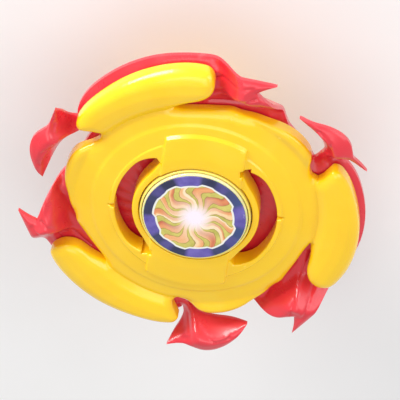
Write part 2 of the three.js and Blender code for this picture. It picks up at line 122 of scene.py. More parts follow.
def inside(points, poly):
    """Which points lie inside the polygon, by crossings."""
    p = np.asarray(points, float)
    v = np.asarray(poly, float)
    w = np.roll(v, -1, 0)
    out = np.zeros(len(p), bool)
    for s in range(0, len(p), 4000):
        x, y = p[s : s + 4000, 0:1], p[s : s + 4000, 1:2]
        cross = (v[:, 1] > y) != (w[:, 1] > y)
        with np.errstate(divide="ignore", invalid="ignore"):
            at_x = (w[:, 0] - v[:, 0]) * (y - v[:, 1]) / (w[:, 1] - v[:, 1]) + v[:, 0]
        out[s : s + 4000] = np.sum(cross & (x < at_x), 1) % 2 == 1
    return out


def union_loops(adds, cuts):
    """The outline loops of the added polygons less the cut ones: material on the left."""
    verts, faces = [], []
    for poly in [*adds, *cuts]:
        faces.append(list(range(len(verts), len(verts) + len(poly))))
        verts.extend(Vector(p) for p in ccw(poly))
    out = delaunay_2d_cdt(verts, [], faces, 0, 1e-6)
    co = np.array([(v[0], v[1]) for v in out[0]])
    tris = np.array([f for f in out[2]])
    mid = co[tris].mean(1)
    kept = np.zeros(len(mid), bool)
    for poly in adds:
        kept |= inside(mid, poly)
    for poly in cuts:
        kept &= ~inside(mid, poly)
    tris = tris[kept]
    directed = {}
    for a, b, c in tris:
        for e in ((a, b), (b, c), (c, a)):
            directed[(int(e[0]), int(e[1]))] = True
    nxt = {}
    for a, b in directed:
        if (b, a) not in directed:
            nxt.setdefault(a, []).append(b)
    loops = []
    while nxt:
        start = next(iter(nxt))
        loop = [start]
        cur = nxt[start].pop()
        if not nxt[start]:
            del nxt[start]
        while cur != start:
            loop.append(cur)
            step = nxt[cur].pop()
            if not nxt[cur]:
                del nxt[cur]
            cur = step
        loops.append([tuple(co[i]) for i in loop])
    return [lp for lp in loops if abs(area(lp)) > 0.02]


def dense(loop, step):
    """The loop with long edges divided and near-twin points dropped."""
    pts = [Vector(p) for p in loop]
    clean = []
    for i, p in enumerate(pts):
        if not clean or (p - clean[-1]).length > 0.03:
            clean.append(p)
    if (clean[0] - clean[-1]).length < 0.03:
        clean.pop()
    out = []
    for i, p in enumerate(clean):
        q = clean[(i + 1) % len(clean)]
        n = max(1, round((q - p).length / step))
        out.extend(tuple(p.lerp(q, k / n)) for k in range(n))
    return out


def normals(loop):
    """Inward unit normals and the turn at each vertex, for material on the left."""
    p = np.array(loop)
    e = np.roll(p, -1, 0) - p
    e /= np.linalg.norm(e, axis=1)[:, None]
    n = np.stack([-e[:, 1], e[:, 0]], 1)
    before = np.roll(n, 1, 0)
    m = n + before
    m /= np.maximum(np.linalg.norm(m, axis=1)[:, None], 1e-6)
    turn = np.degrees(
        np.arctan2(
            before[:, 0] * n[:, 1] - before[:, 1] * n[:, 0], np.sum(before * n, 1)
        )
    )
    return m, before, n, turn


class Distance:
    """Distance of points from a set of closely divided loops."""

    def __init__(self, loops):
        self.a = np.concatenate([np.array(lp) for lp in loops])
        self.b = np.concatenate([np.roll(np.array(lp), -1, 0) for lp in loops])
        self.c = np.concatenate([np.roll(np.array(lp), 1, 0) for lp in loops])
        self.tree = kdtree.KDTree(len(self.a))
        for i, p in enumerate(self.a):
            self.tree.insert((p[0], p[1], 0.0), i)
        self.tree.balance()

    def __call__(self, pts):
        pts = np.asarray(pts, float)
        find = self.tree.find
        near = np.array([find((p[0], p[1], 0.0))[1] for p in pts], int)
        out = np.full(len(pts), np.inf)
        a = self.a[near]
        for other in (self.b[near], self.c[near]):
            ab = other - a
            ap = pts - a
            t = np.clip(np.sum(ap * ab, 1) / np.maximum(np.sum(ab * ab, 1), 1e-12), 0, 1)
            d = ap - t[:, None] * ab
            out = np.minimum(out, np.sqrt(np.sum(d * d, 1)))
        return out


def hexgrid(x0, x1, y0, y1, h):
    rows = []
    y, k = y0, 0
    while y <= y1:
        xs = np.arange(x0 + (h / 2 if k % 2 else 0), x1, h)
        rows.append(np.stack([xs, np.full(len(xs), y)], 1))
        y += h * 0.866
        k += 1
    return np.concatenate(rows)


def thin(points, gap, fixed=None):
    """Points with any that lie within gap of an earlier or fixed one dropped."""
    cells = {}

    def key(p):
        return (int(math.floor(p[0] / gap)), int(math.floor(p[1] / gap)))

    def near(p):
        i, j = key(p)
        for u in (i - 1, i, i + 1):
            for v in (j - 1, j, j + 1):
                for q in cells.get((u, v), ()):
                    if (q[0] - p[0]) ** 2 + (q[1] - p[1]) ** 2 < gap * gap:
                        return True
        return False

    for p in fixed if fixed is not None else ():
        cells.setdefault(key(p), []).append((p[0], p[1]))
    out = []
    for p in points:
        if not near(p):
            cells.setdefault(key(p), []).append((p[0], p[1]))
            out.append((float(p[0]), float(p[1])))
    return out


def sheet(loops, bands, h, extra=()):
    """Triangles over the region inside the loops, fine along the edges.
    bands holds, for each loop, the distances from it at which points are laid."""
    fixed = [p for lp in loops for p in lp]
    outline = Distance(loops)
    candidates = []
    for lp, ds in zip(loops, bands):
        m, before, after, turn = normals(lp)
        p = np.array(lp)
        for d in ds:
            rows = [p + m * d]
            for i in np.where(turn < -15)[0]:
                steps = max(2, int(-turn[i] / 15))
                for k in range(steps + 1):
                    v = before[i] * (1 - k / steps) + after[i] * (k / steps)
                    v = v / max(np.linalg.norm(v), 1e-6)
                    rows.append((p[i] + v * d)[None])
            q = np.concatenate(rows)
            candidates.append((q, d))
    pts = []
    for q, d in candidates:
        true = outline(q)
        ok = np.abs(true - d) < 0.04 + 0.04 * d
        pts.extend(map(tuple, q[ok]))
    pts = thin(pts, 0.09)
    if len(extra):
        e = np.asarray(extra, float)
        e = e[outline(e) > 0.12]
        pts = pts + thin(e, 0.1, fixed=pts)
    a = np.array(fixed)
    g = hexgrid(a[:, 0].min(), a[:, 0].max(), a[:, 1].min(), a[:, 1].max(), h)
    near = outline(g)
    clear = max((max(ds) if len(ds) else 0.0) for ds in bands)
    g = g[near > min(h * 0.6, max(clear, 0.1))]
    pts = pts + thin(g, h * 0.55, fixed=pts)
    verts = [Vector(p) for p in fixed + pts]
    edges = []
    s = 0
    for lp in loops:
        n = len(lp)
        edges.extend((s + i, s + (i + 1) % n) for i in range(n))
        s += n
    out = delaunay_2d_cdt(verts, edges, [], 0, 1e-7)
    co = np.array([(v[0], v[1]) for v in out[0]])
    tris = np.array(out[2])
    mid = co[tris].mean(1)
    keep = np.zeros(len(mid), bool)
    for lp in loops:
        keep ^= inside(mid, lp)
    tris = tris[keep]
    index = {}
    for new, olds in enumerate(out[3]):
        for o in olds:
            index[o] = new
    return co, tris, index


def slab(name, loops, top, bottom, top_bands, bottom_bands, levels=None, h=0.42, hb=1.1, extra=(), extra_b=()):
    """A closed plate. loops: outlines seen from above. top(xy) and bottom(xy) give heights.
    levels: for a loop's index, its (points, height) rings between the top edge and the bottom
    edge, the last entry being the bottom loop's own points."""
    levels = levels or {}
    low = [levels[i][-1][0] if i in levels else lp for i, lp in enumerate(loops)]
    co_t, tri_t, idx_t = sheet(loops, top_bands, h, extra)
    co_b, tri_b, idx_b = sheet(low, bottom_bands, hb, extra_b)
    zt, zb = top(co_t), bottom(co_b)
    verts = [(x, y, z) for (x, y), z in zip(co_t, zt)]
    base = len(verts)
    verts += [(x, y, z) for (x, y), z in zip(co_b, zb)]
    faces = [tuple(map(int, t)) for t in tri_t]
    faces += [(int(a) + base, int(c) + base, int(b) + base) for a, b, c in tri_b]
    s = 0
    for i, lp in enumerate(loops):
        n = len(lp)
        rows = [[idx_t[s + k] for k in range(n)]]
        for pts, z in levels.get(i, [])[:-1]:
            row = []
            for p in pts:
                row.append(len(verts))
                verts.append((p[0], p[1], z))
            rows.append(row)
        rows.append([idx_b[s + k] + base for k in range(n)])
        for up, dn in zip(rows, rows[1:]):
            for k in range(n):
                j = (k + 1) % n
                faces.append((up[k], dn[k], dn[j], up[j]))
        s += n
    ob = mesh_object(name, verts, faces)
    weighted(ob)
    return ob


def mesh_object(name, verts, faces, smooth=True, sharp=38):
    me = bpy.data.meshes.new(name)
    me.from_pydata([(x * MM, y * MM, z * MM) for x, y, z in verts], [], faces)
    bm = bmesh.new()
    bm.from_mesh(me)
    bmesh.ops.remove_doubles(bm, verts=bm.verts, dist=1e-7)
    loose = [v for v in bm.verts if not v.link_faces]
    bmesh.ops.delete(bm, geom=loose, context="VERTS")
    bmesh.ops.recalc_face_normals(bm, faces=bm.faces)
    bm.to_mesh(me)
    bm.free()
    ob = bpy.data.objects.new(name, me)
    scene.collection.objects.link(ob)
    if smooth:
        me.shade_smooth()
        me.set_sharp_from_angle(angle=math.radians(sharp))
    return ob


def round_off(d, wide, deep):
    """How far an edge rounded over wide by deep has dropped at distance d from it."""
    t = np.clip((wide - d) / wide, 0, 1)
    return deep * (1 - np.sqrt(np.clip(1 - t * t, 0, 1)))


def smoothstep(t):
    t = np.clip(t, 0, 1)
    return t * t * (3 - 2 * t)


def arcs(wide, n=6):
    return [wide * (1 - math.cos(math.radians(90 * k / n))) for k in range(1, n + 1)]


# ------------------------------------------------------------ turned profiles
def filleted(profile, radii, steps=5):
    """A closed profile of (r, z) points with its corners rounded. radii: one number or one per point."""
    n = len(profile)
    if not hasattr(radii, "__len__"):
        radii = [radii] * n
    out = []
    for i in range(n):
        a, b, c = (Vector(profile[i - 1]), Vector(profile[i]), Vector(profile[(i + 1) % n]))
        r = radii[i]
        u, w = a - b, c - b
        if r <= 0 or u.length < 1e-6 or w.length < 1e-6 or b.x < 1e-9:
            out.append(tuple(b))
            continue
        lu, lw = u.length, w.length
        u.normalize()
        w.normalize()
        cosang = max(-1.0, min(1.0, u.dot(w)))
        ang = math.acos(cosang)
        if ang > math.radians(172):
            out.append(tuple(b))
            continue
        cut = min(r / math.tan(ang / 2), lu * 0.45, lw * 0.45)
        rr = cut * math.tan(ang / 2)
        centre = b + (u + w).normalized() * (rr / math.sin(ang / 2))
        p, q = b + u * cut - centre, b + w * cut - centre
        t0, t1 = math.atan2(p.y, p.x), math.atan2(q.y, q.x)
        dt = math.atan2(math.sin(t1 - t0), math.cos(t1 - t0))
        for k in range(steps + 1):
            t = t0 + dt * k / steps
            out.append((centre.x + rr * math.cos(t), centre.y + rr * math.sin(t)))
    return out


def lathe(name, profile, segments=128, centre=(0.0, 0.0), shape=None, sharp=38, weight=True):
    """A closed profile turned round Z. shape(r, z, angle) may change a radius."""
    cx, cy = centre
    verts, rings = [], []
    for r, z in profile:
        if r < 1e-6:
            rings.append([len(verts)])
            verts.append((cx, cy, z))
            continue
        row = []
        for k in range(segments):
            t = 2 * math.pi * k / segments
            rr = shape(r, z, t) if shape else r
            row.append(len(verts))
            verts.append((cx + rr * math.cos(t), cy + rr * math.sin(t), z))
        rings.append(row)
    faces = []
    for i in range(len(rings)):
        a, b = rings[i], rings[(i + 1) % len(rings)]
        if len(a) == 1 and len(b) == 1:
            continue
        for k in range(segments):
            j = (k + 1) % segments
            if len(a) == 1:
                faces.append((a[0], b[k], b[j]))
            elif len(b) == 1:
                faces.append((a[k], b[0], a[j]))
            else:
                faces.append((a[k], b[k], b[j], a[j]))
    ob = mesh_object(name, verts, faces, sharp=sharp)
    if weight:
        weighted(ob)
    return ob


def weighted(ob):
    m = ob.modifiers.new("normals", "WEIGHTED_NORMAL")
    m.keep_sharp = True
    m.weight = 60


def bar(x0, x1, y0, y1, z0, z1, taper=0.0):
    """A box as vertices and faces, its lower end narrowed by taper."""
    t = taper
    v = [
        (x0 + t, y0 + t, z0), (x1 - t, y0 + t, z0), (x1 - t, y1 - t, z0), (x0 + t, y1 - t, z0),
        (x0, y0, z1), (x1, y0, z1), (x1, y1, z1), (x0, y1, z1),
    ]
    f = [(0, 3, 2, 1), (4, 5, 6, 7), (0, 1, 5, 4), (1, 2, 6, 5), (2, 3, 7, 6), (3, 0, 4, 7)]
    return v, f


def cutter(parts):
    """One hidden object from several closed pieces, to be cut out of another."""
    verts, faces = [], []
    for v, f in parts:
        s = len(verts)
        verts += v
        faces += [tuple(i + s for i in q) for q in f]
    ob = mesh_object("cutter", verts, faces, smooth=False)
    return ob


def cut(ob, tool, op="DIFFERENCE", sharp=38):
    """Applies a boolean to the mesh and removes the tool."""
    for m in list(ob.modifiers):
        ob.modifiers.remove(m)
    b = ob.modifiers.new("cut", "BOOLEAN")
    b.operation = op
    b.object = tool
    b.solver = "MANIFOLD"
    deps = bpy.context.evaluated_depsgraph_get()
    me = bpy.data.meshes.new_from_object(ob.evaluated_get(deps))
    ob.modifiers.clear()
    old = ob.data
    ob.data = me
    me.name = ob.name
    bpy.data.meshes.remove(old)
    bpy.data.objects.remove(tool)
    bm = bmesh.new()
    bm.from_mesh(me)
    bmesh.ops.remove_doubles(bm, verts=bm.verts, dist=2e-7)
    bmesh.ops.dissolve_degenerate(bm, edges=bm.edges, dist=1e-7)
    bm.to_mesh(me)
    bm.free()
    me.shade_smooth()
    me.set_sharp_from_angle(angle=math.radians(sharp))
    weighted(ob)
    return ob


def prism_part(points, z0, z1):
    n = len(points)
    pts = ccw(points)
    v = [(x, y, z0) for x, y in pts] + [(x, y, z1) for x, y in pts]
    f = [tuple(range(n))[::-1], tuple(range(n, 2 * n))]
    f += [(i, (i + 1) % n, (i + 1) % n + n, i + n) for i in range(n)]
    return v, f


def sector_pts(r0, r1, a0, a1, steps=14):
    out = [pol(r1, a0 + (a1 - a0) * k / steps) for k in range(steps + 1)]
    out += [pol(r0, a1 + (a0 - a1) * k / steps) for k in range(steps + 1)]
    return out


# ------------------------------------------------------------------ materials
class Nodes:
    """Short calls for building a node material."""

    def __init__(self, name):
        self.mat = bpy.data.materials.new(name)
        self.mat.use_nodes = True
        self.nt = self.mat.node_tree
        self.nt.nodes.clear()
        self.out = self.nt.nodes.new("ShaderNodeOutputMaterial")
        self.bsdf = self.nt.nodes.new("ShaderNodeBsdfPrincipled")
        self.nt.links.new(self.bsdf.outputs[0], self.out.inputs[0])
        tc = self.nt.nodes.new("ShaderNodeTexCoord")
        self.co = tc.outputs["Object"]

    def put(self, socket, value):
        if isinstance(value, bpy.types.NodeSocket):
            self.nt.links.new(value, socket)
        elif hasattr(value, "__len__") and len(value) == 3 and socket.type == "RGBA":
            socket.default_value = (*value, 1.0)
        else:
            socket.default_value = value

    def set(self, **kw):
        for k, v in kw.items():
            self.put(self.bsdf.inputs[k.replace("_", " ")], v)
        return self

    def math(self, op, a, b=0.0, c=0.0, clamp=False):
        n = self.nt.nodes.new("ShaderNodeMath")
        n.operation = op
        n.use_clamp = clamp
        for i, v in enumerate((a, b, c)):
            self.put(n.inputs[i], v)
        return n.outputs[0]

    def noise(self, scale, detail=3.0, rough=0.55, distort=0.0, co=None, out=0):
        n = self.nt.nodes.new("ShaderNodeTexNoise")
        self.put(n.inputs["Vector"], co if co is not None else self.co)
        n.inputs["Scale"].default_value = scale
        n.inputs["Detail"].default_value = detail
        n.inputs["Roughness"].default_value = rough
        n.inputs["Distortion"].default_value = distort
        return n.outputs[out]

    def voronoi(self, scale, feature="F1", co=None):
        n = self.nt.nodes.new("ShaderNodeTexVoronoi")
        n.feature = feature
        self.put(n.inputs["Vector"], co if co is not None else self.co)
        n.inputs["Scale"].default_value = scale
        return n.outputs[0]

    def ramp(self, fac, stops, interpolation="LINEAR"):
        n = self.nt.nodes.new("ShaderNodeValToRGB")
        n.color_ramp.interpolation = interpolation
        els = n.color_ramp.elements
        while len(els) < len(stops):
            els.new(0.5)
        for e, (p, c) in zip(els, stops):
            e.position = p
            e.color = (*c, 1.0) if hasattr(c, "__len__") else (c, c, c, 1.0)
        self.put(n.inputs[0], fac)
        return n.outputs[0]

    def span(self, v, a0, a1, b0, b1):
        n = self.nt.nodes.new("ShaderNodeMapRange")
        n.clamp = True
        for i, x in enumerate((v, a0, a1, b0, b1)):
            self.put(n.inputs[i], x)
        return n.outputs[0]

    def mix(self, fac, a, b, kind="MIX"):
        n = self.nt.nodes.new("ShaderNodeMix")
        n.data_type = "RGBA"
        n.blend_type = kind
        n.clamp_factor = True
        self.put(n.inputs[0], fac)
        self.put(n.inputs[6], a)
        self.put(n.inputs[7], b)
        return n.outputs[2]

    def bump(self, height, distance, strength=1.0, normal=None):
        n = self.nt.nodes.new("ShaderNodeBump")
        n.inputs["Strength"].default_value = strength
        n.inputs["Distance"].default_value = distance
        self.put(n.inputs["Height"], height)
        if normal is not None:
            self.put(n.inputs["Normal"], normal)
        return n.outputs[0]

    def xyz(self, vector=None):
        n = self.nt.nodes.new("ShaderNodeSeparateXYZ")
        self.put(n.inputs[0], vector if vector is not None else self.co)
        return n.outputs

    def combine(self, x, y, z):
        n = self.nt.nodes.new("ShaderNodeCombineXYZ")
        for i, v in enumerate((x, y, z)):
            self.put(n.inputs[i], v)
        return n.outputs[0]

    def pointiness(self):
        n = self.nt.nodes.new("ShaderNodeNewGeometry")
        return n.outputs["Pointiness"]


def moulded(name, colour, pale, deep, rough=0.24, sss=0.08, radius=(1.0, 0.5, 0.2), grain=1.0, coat=0.35, wear=0.5):
    """Glossy moulded plastic: faint flow marks, orange peel, fine scuffs, rubbed edges, and shade painted darker
    into crevices.
    """
    m = Nodes(name)
    cloud = m.noise(90, 4, 0.6)
    flow = m.noise(55, 2, 0.5, 1.5, out=0)
    col = m.mix(m.span(cloud, 0.35, 0.7, 0.0, 0.22), colour, deep)
    col = m.mix(m.span(flow, 0.45, 0.75, 0.0, 0.14), col, pale)
    pt = m.pointiness()
    patch = m.noise(600, 4, 0.65)
    edge = m.math("MULTIPLY", m.span(pt, 0.54, 0.64, 0.0, 1.0), m.span(patch, 0.42, 0.66, 0.15, 1.0))
    col = m.mix(m.math("MULTIPLY", edge, wear), col, pale)
    # painted shade: crevices and inner corners, found by low pointiness, get a darker copy of the plastic's colour
    painted_crevice_shade = m.span(pt, 0.33, 0.44, 0.35, 0.0)
    col = m.mix(painted_crevice_shade, col, tuple(c * 0.62 for c in deep))
    scuff_co = m.nt.nodes.new("ShaderNodeMapping")
    m.put(scuff_co.inputs["Vector"], m.co)
    scuff_co.inputs["Rotation"].default_value = (0.0, 0.0, 0.6)
    scuff_co.inputs["Scale"].default_value = (1.0, 9.0, 1.0)
    scuff = m.noise(420, 5, 0.7, 0.4, co=scuff_co.outputs[0])
    scr = m.span(scuff, 0.62, 0.80, 0.0, 1.0)
    r = m.math("ADD", rough - 0.03, m.math("MULTIPLY", m.noise(260, 4, 0.6), 0.09))
    r = m.math("ADD", r, m.math("MULTIPLY", scr, 0.10))
    r = m.math("ADD", r, m.math("MULTIPLY", edge, 0.12), clamp=True)
    peel = m.noise(1500, 2, 0.5)
    fine = m.noise(6500, 3, 0.6)
    height = m.math("ADD", m.math("MULTIPLY", peel, 1.0), m.math("MULTIPLY", fine, 0.35))
    height = m.math("SUBTRACT", height, m.math("MULTIPLY", scr, 0.22))
    n = m.bump(height, 0.000018 * grain, 0.55)
    m.set(Base_Color=col, Roughness=r, Normal=n)
    m.set(Subsurface_Weight=sss, Subsurface_Scale=0.0012, Coat_Weight=coat, Coat_Roughness=0.08)
    m.bsdf.inputs["Subsurface Radius"].default_value = radius
    m.bsdf.inputs["IOR"].default_value = 1.5
    return m.mat


def metal(name, colour, rough=0.28, turned=True, centre=(0.0, 0.0), fine=5200, dark=0.5, stain=0.35, lines=0.18, deep=0.000012):
    """Plated steel or brass with turning marks round the axis, stains and worn edges, and shade painted darker into
    hollows.
    """
    m = Nodes(name)
    x, y, z = m.xyz()
    dx, dy = m.math("SUBTRACT", x, centre[0]), m.math("SUBTRACT", y, centre[1])
    r = m.math("SQRT", m.math("ADD", m.math("MULTIPLY", dx, dx), m.math("MULTIPLY", dy, dy)))
    rings = m.noise(1.0, 3, 0.6, co=m.combine(m.math("MULTIPLY", r, fine), m.math("MULTIPLY", z, fine * 0.4), 0.0)) if turned else m.noise(fine, 3, 0.6)
    blot = m.noise(240, 5, 0.62)
    pt = m.pointiness()
    shade = tuple(c * dark for c in colour)
    col = m.mix(m.span(blot, 0.48, 0.72, 0.0, stain), colour, shade)
    col = m.mix(m.span(rings, 0.35, 0.65, 0.0, lines), col, shade)
    col = m.mix(m.span(pt, 0.55, 0.65, 0.0, 0.5), col, tuple(min(1.0, c * 1.25) for c in colour))
    # painted shade: hollows and inner corners, found by low pointiness, are painted a quarter as bright
    col = m.mix(m.span(pt, 0.33, 0.44, 0.55, 0.0), col, tuple(c * 0.25 for c in colour))
    ro = m.math("ADD", rough - 0.06, m.math("MULTIPLY", rings, 0.14))
    ro = m.math("ADD", ro, m.math("MULTIPLY", m.span(blot, 0.48, 0.72, 0.0, 1.0), 0.14), clamp=True)
    n = m.bump(m.math("ADD", rings, m.math("MULTIPLY", m.noise(1800, 3), 0.5)), deep, 0.6)
    m.set(Base_Color=col, Roughness=ro, Normal=n, Metallic=1.0)
    return m.mat


def srgb(r, g, b):
    def f(v):
        v /= 255
        return v / 12.92 if v <= 0.04045 else ((v + 0.055) / 1.055) ** 2.4

    return (f(r), f(g), f(b))


YELLOW = moulded("yellow_abs", srgb(255, 206, 14), srgb(255, 228, 90), srgb(248, 184, 4), rough=0.22, sss=0.12, radius=(1.0, 0.65, 0.12), wear=0.45)
RED = moulded("red_abs", srgb(226, 44, 58), srgb(246, 122, 126), srgb(184, 20, 34), rough=0.27, sss=0.10, radius=(1.0, 0.2, 0.15), wear=0.40)
MILKY = moulded("pale_yellow_abs", srgb(255, 230, 110), srgb(255, 242, 168), srgb(246, 208, 70), rough=0.28, sss=0.2, radius=(1.0, 0.8, 0.4), wear=0.2)
BLACK = moulded("black_abs", srgb(30, 30, 33), srgb(84, 84, 88), srgb(14, 14, 16), rough=0.5, sss=0.0, grain=2.5, coat=0.0, wear=0.5)
STEEL = metal("zinc_steel", (0.62, 0.63, 0.65), 0.3)
DISC = metal("disc_steel", (0.40, 0.41, 0.44), 0.20, fine=4200, lines=0.55, deep=0.00003)
CELL = metal("cell_steel", (0.72, 0.73, 0.75), 0.2, fine=7000, stain=0.15)
BRASS = metal("contact_brass", (0.80, 0.58, 0.24), 0.3, turned=False, fine=2600)


def lens_material():
    m = Nodes("lens_pc")
    haze = m.noise(700, 4, 0.6)
    m.set(
        Base_Color=m.mix(m.span(haze, 0.4, 0.7, 0.0, 0.4), srgb(255, 246, 184), srgb(252, 232, 140)),
        Roughness=m.span(haze, 0.3, 0.7, 0.05, 0.16),
        Normal=m.bump(m.noise(900, 2), 0.00001, 0.4),
        Transmission_Weight=0.12,
        Subsurface_Weight=0.35,
        Subsurface_Scale=0.001,
        Coat_Weight=0.6,
    )
    m.bsdf.inputs["IOR"].default_value = 1.49
    return m.mat


def emblem_material():
    """A printed film: navy ring with violet blocks round a sun with wavy rays on olive, with a highlight painted
    white at its centre.
    """
    m = Nodes("emblem_print")
    x, y, z = m.xyz()
    x, y = m.math("MULTIPLY", x, 1000.0), m.math("MULTIPLY", y, 1000.0)
    r = m.math("SQRT", m.math("ADD", m.math("MULTIPLY", x, x), m.math("MULTIPLY", y, y)))
    a = m.math("ARCTAN2", y, x)
    # wavy rays: the angle sways with the radius, by a different phase on each side
    phase = m.math("MULTIPLY", m.math("SINE", m.math("ADD", m.math("MULTIPLY", a, 2.0), 1.0)), 1.4)
    sway = m.math("SINE", m.math("ADD", m.math("MULTIPLY", r, 0.95), phase))
    a2 = m.math("ADD", a, m.math("MULTIPLY", sway, 0.20))
    a2 = m.math("ADD", a2, m.math("MULTIPLY", m.math("SUBTRACT", m.noise(260, 3, 0.6), 0.5), 0.35))
    wave = m.math("COSINE", m.math("ADD", m.math("MULTIPLY", a2, 13.0), 0.6))
    sides = m.noise(2.1, 2, 0.5, co=m.combine(m.math("COSINE", a2), m.math("SINE", a2), 0.3))
    edge = m.math("ADD", m.span(r, 1.8, 8.6, -1.0, 0.32), m.math("MULTIPLY", m.math("SUBTRACT", sides, 0.5), -0.8))
    over = m.math("SUBTRACT", wave, edge)
    ray = m.span(over, -0.10, 0.10, 0.0, 1.0)
    rim = m.math("MULTIPLY", m.span(over, -0.34, -0.08, 0.0, 1.0), m.span(over, -0.02, 0.14, 1.0, 0.0))
    patches = m.noise(330, 4, 0.62)
    ground = m.mix(m.span(patches, 0.34, 0.68, 0.0, 1.0), srgb(226, 212, 112), srgb(186, 178, 80))
    pick = m.noise(3.2, 1, 0.5, co=m.combine(m.math("COSINE", a2), m.math("SINE", a2), 2.7))
    hue = m.ramp(m.span(pick, 0.30, 0.70, 0.0, 1.0), [
        (0.0, srgb(206, 112, 78)), (0.32, srgb(228, 142, 92)), (0.58, srgb(244, 172, 112)),
        (0.78, srgb(250, 212, 158)), (1.0, srgb(255, 238, 206)),
    ])
    pale = m.mix(m.span(r, 2.2, 6.8, 0.7, 0.0), hue, srgb(255, 238, 208))
    col = m.mix(ray, ground, pale)
    col = m.mix(m.math("MULTIPLY", rim, m.span(r, 2.6, 4.4, 0.0, 0.75)), col, srgb(142, 96, 46))
    # painted highlight: the middle of the sun fades to near white, standing for the shine at the lens's centre
    col = m.mix(m.span(r, 1.2, 3.6, 1.0, 0.0), col, srgb(252, 240, 252))
    # the ring, with blocks that reach further in than the rest
    block = None
    for centre, half in ((105, 15), (12, 16), (203, 15), (283, 16), (62, 7), (148, 7), (330, 7), (240, 7)):
        c, sn = math.cos(math.radians(centre)), math.sin(math.radians(centre))
        dot = m.math("DIVIDE", m.math("ADD", m.math("MULTIPLY", x, c), m.math("MULTIPLY", y, sn)), m.math("MAXIMUM", r, 0.01))
        b = m.span(dot, math.cos(math.radians(half + 3)), math.cos(math.radians(max(half - 3, 1))), 0.0, 1.0 if half > 10 else 0.45)
        block = b if block is None else m.math("MAXIMUM", block, b)
    inner = m.math("SUBTRACT", 8.42, m.math("MULTIPLY", block, 0.55))
    past = m.math("SUBTRACT", r, inner)
    col = m.mix(m.span(past, -0.42, -0.34, 0.0, 1.0), col, srgb(240, 240, 232))
    navy = m.mix(m.span(m.noise(210, 3), 0.35, 0.65, 0.0, 1.0), srgb(34, 38, 74), srgb(58, 62, 104))
    cool = m.math("MULTIPLY", m.span(x, 4.0, 9.5, 0.0, 1.0), m.span(y, -8.0, -1.0, 0.5, 1.0))
    navy = m.mix(m.math("MULTIPLY", cool, 0.6), navy, srgb(58, 88, 150))
    violet = m.mix(m.span(m.noise(420, 3), 0.3, 0.7, 0.0, 1.0), srgb(84, 72, 156), srgb(116, 102, 184))
    navy = m.mix(block, navy, violet)
    col = m.mix(m.span(past, -0.05, 0.05, 0.0, 1.0), col, navy)
    # print dots and a few rubs
    dots = m.voronoi(4200)
    col = m.mix(m.span(dots, 0.0, 0.5, 0.10, 0.0), col, (0.02, 0.02, 0.02))
    rub = m.span(m.noise(260, 6, 0.75, 0.5), 0.66, 0.74, 0.0, 0.25)
    col = m.mix(rub, col, (0.85, 0.83, 0.78))
    m.set(
        Base_Color=col,
        Roughness=m.math("ADD", 0.34, m.math("MULTIPLY", m.noise(500, 4), 0.16)),
        Normal=m.bump(m.noise(1400, 3), 0.000012, 0.4),
        Coat_Weight=0.2,
        Coat_Roughness=0.2,
    )
    return m.mat


def board_material():
    m = Nodes("solder_resist")
    x, y, z = m.xyz()
    brick = m.nt.nodes.new("ShaderNodeTexBrick")
    m.put(brick.inputs["Vector"], m.co)
    brick.inputs["Scale"].default_value = 260
    brick.inputs["Mortar Size"].default_value = 0.05
    brick.inputs["Brick Width"].default_value = 0.9
    # tracks and pads lie on the two faces only, and the cut edge shows the bare laminate
    face = m.math("GREATER_THAN", m.math("ABSOLUTE", m.math("SUBTRACT", z, 0.0258)), 0.00046)
    track = m.math("MULTIPLY", brick.outputs["Fac"], face)
    base = m.mix(m.span(m.noise(600, 3), 0.3, 0.7, 0.0, 1.0), srgb(18, 92, 46), srgb(26, 112, 58))
    col = m.mix(m.math("MULTIPLY", track, 0.8), base, srgb(60, 150, 84))
    pads = m.voronoi(520)
    pad = m.math("MULTIPLY", m.span(pads, 0.10, 0.14, 1.0, 0.0), face)
    col = m.mix(pad, col, srgb(196, 198, 196))
    col = m.mix(face, m.mix(m.span(m.noise(2600, 3), 0.35, 0.65, 0.0, 1.0), srgb(158, 160, 96), srgb(120, 132, 74)), col)
    m.set(
        Base_Color=col,
        Metallic=m.math("MULTIPLY", pad, 0.85),
        Roughness=m.span(m.noise(900, 3), 0.3, 0.7, 0.3, 0.48),
        Normal=m.bump(m.math("ADD", track, pad), 0.00003, 0.6),
    )
    return m.mat


def resin_material():
    m = Nodes("potting_resin")
    m.set(
        Base_Color=m.mix(m.span(m.noise(700, 4), 0.3, 0.7, 0.0, 1.0), srgb(14, 14, 16), srgb(34, 33, 36)),
        Roughness=m.span(m.noise(500, 3), 0.3, 0.7, 0.22, 0.42),
        Normal=m.bump(m.noise(900, 3), 0.00004, 0.5),
    )
    return m.mat


def led_material(name, colour):
    m = Nodes(name)
    x, y, z = m.xyz()
    m.set(
        Base_Color=m.mix(m.span(m.noise(900, 3), 0.3, 0.7, 0.0, 0.3), colour, tuple(c * 0.7 for c in colour)),
        Roughness=m.span(m.noise(1200, 2), 0.3, 0.7, 0.05, 0.14),
        Normal=m.bump(m.noise(1500, 2), 0.00001, 0.3),
        Transmission_Weight=0.75,
        Coat_Weight=0.3,
    )
    m.bsdf.inputs["IOR"].default_value = 1.53
    return m.mat


LENS = lens_material()
EMBLEM = emblem_material()
BOARD = board_material()
RESIN = resin_material()
LEDS = [
    led_material("led_red_epoxy", srgb(255, 90, 70)),
    led_material("led_clear_epoxy", srgb(250, 244, 226)),
    led_material("led_blue_epoxy", srgb(110, 130, 255)),
]


def finish_piece(ob, mat, body, slot, *replaced):
    ob.data.materials.clear()
    ob.data.materials.append(mat)
    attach(ob, body)
    if replaced:
        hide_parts(*replaced)
    return ob


# --------------------------------------------------------------- bladed ring
def blade_outline():
    pts = [p for t in (0, 120, 240) for p in at(BLADE_THIRD, -t)]
    pts = soften(pts)
    pts = soften(pts, 40)
    return ccw(pts)


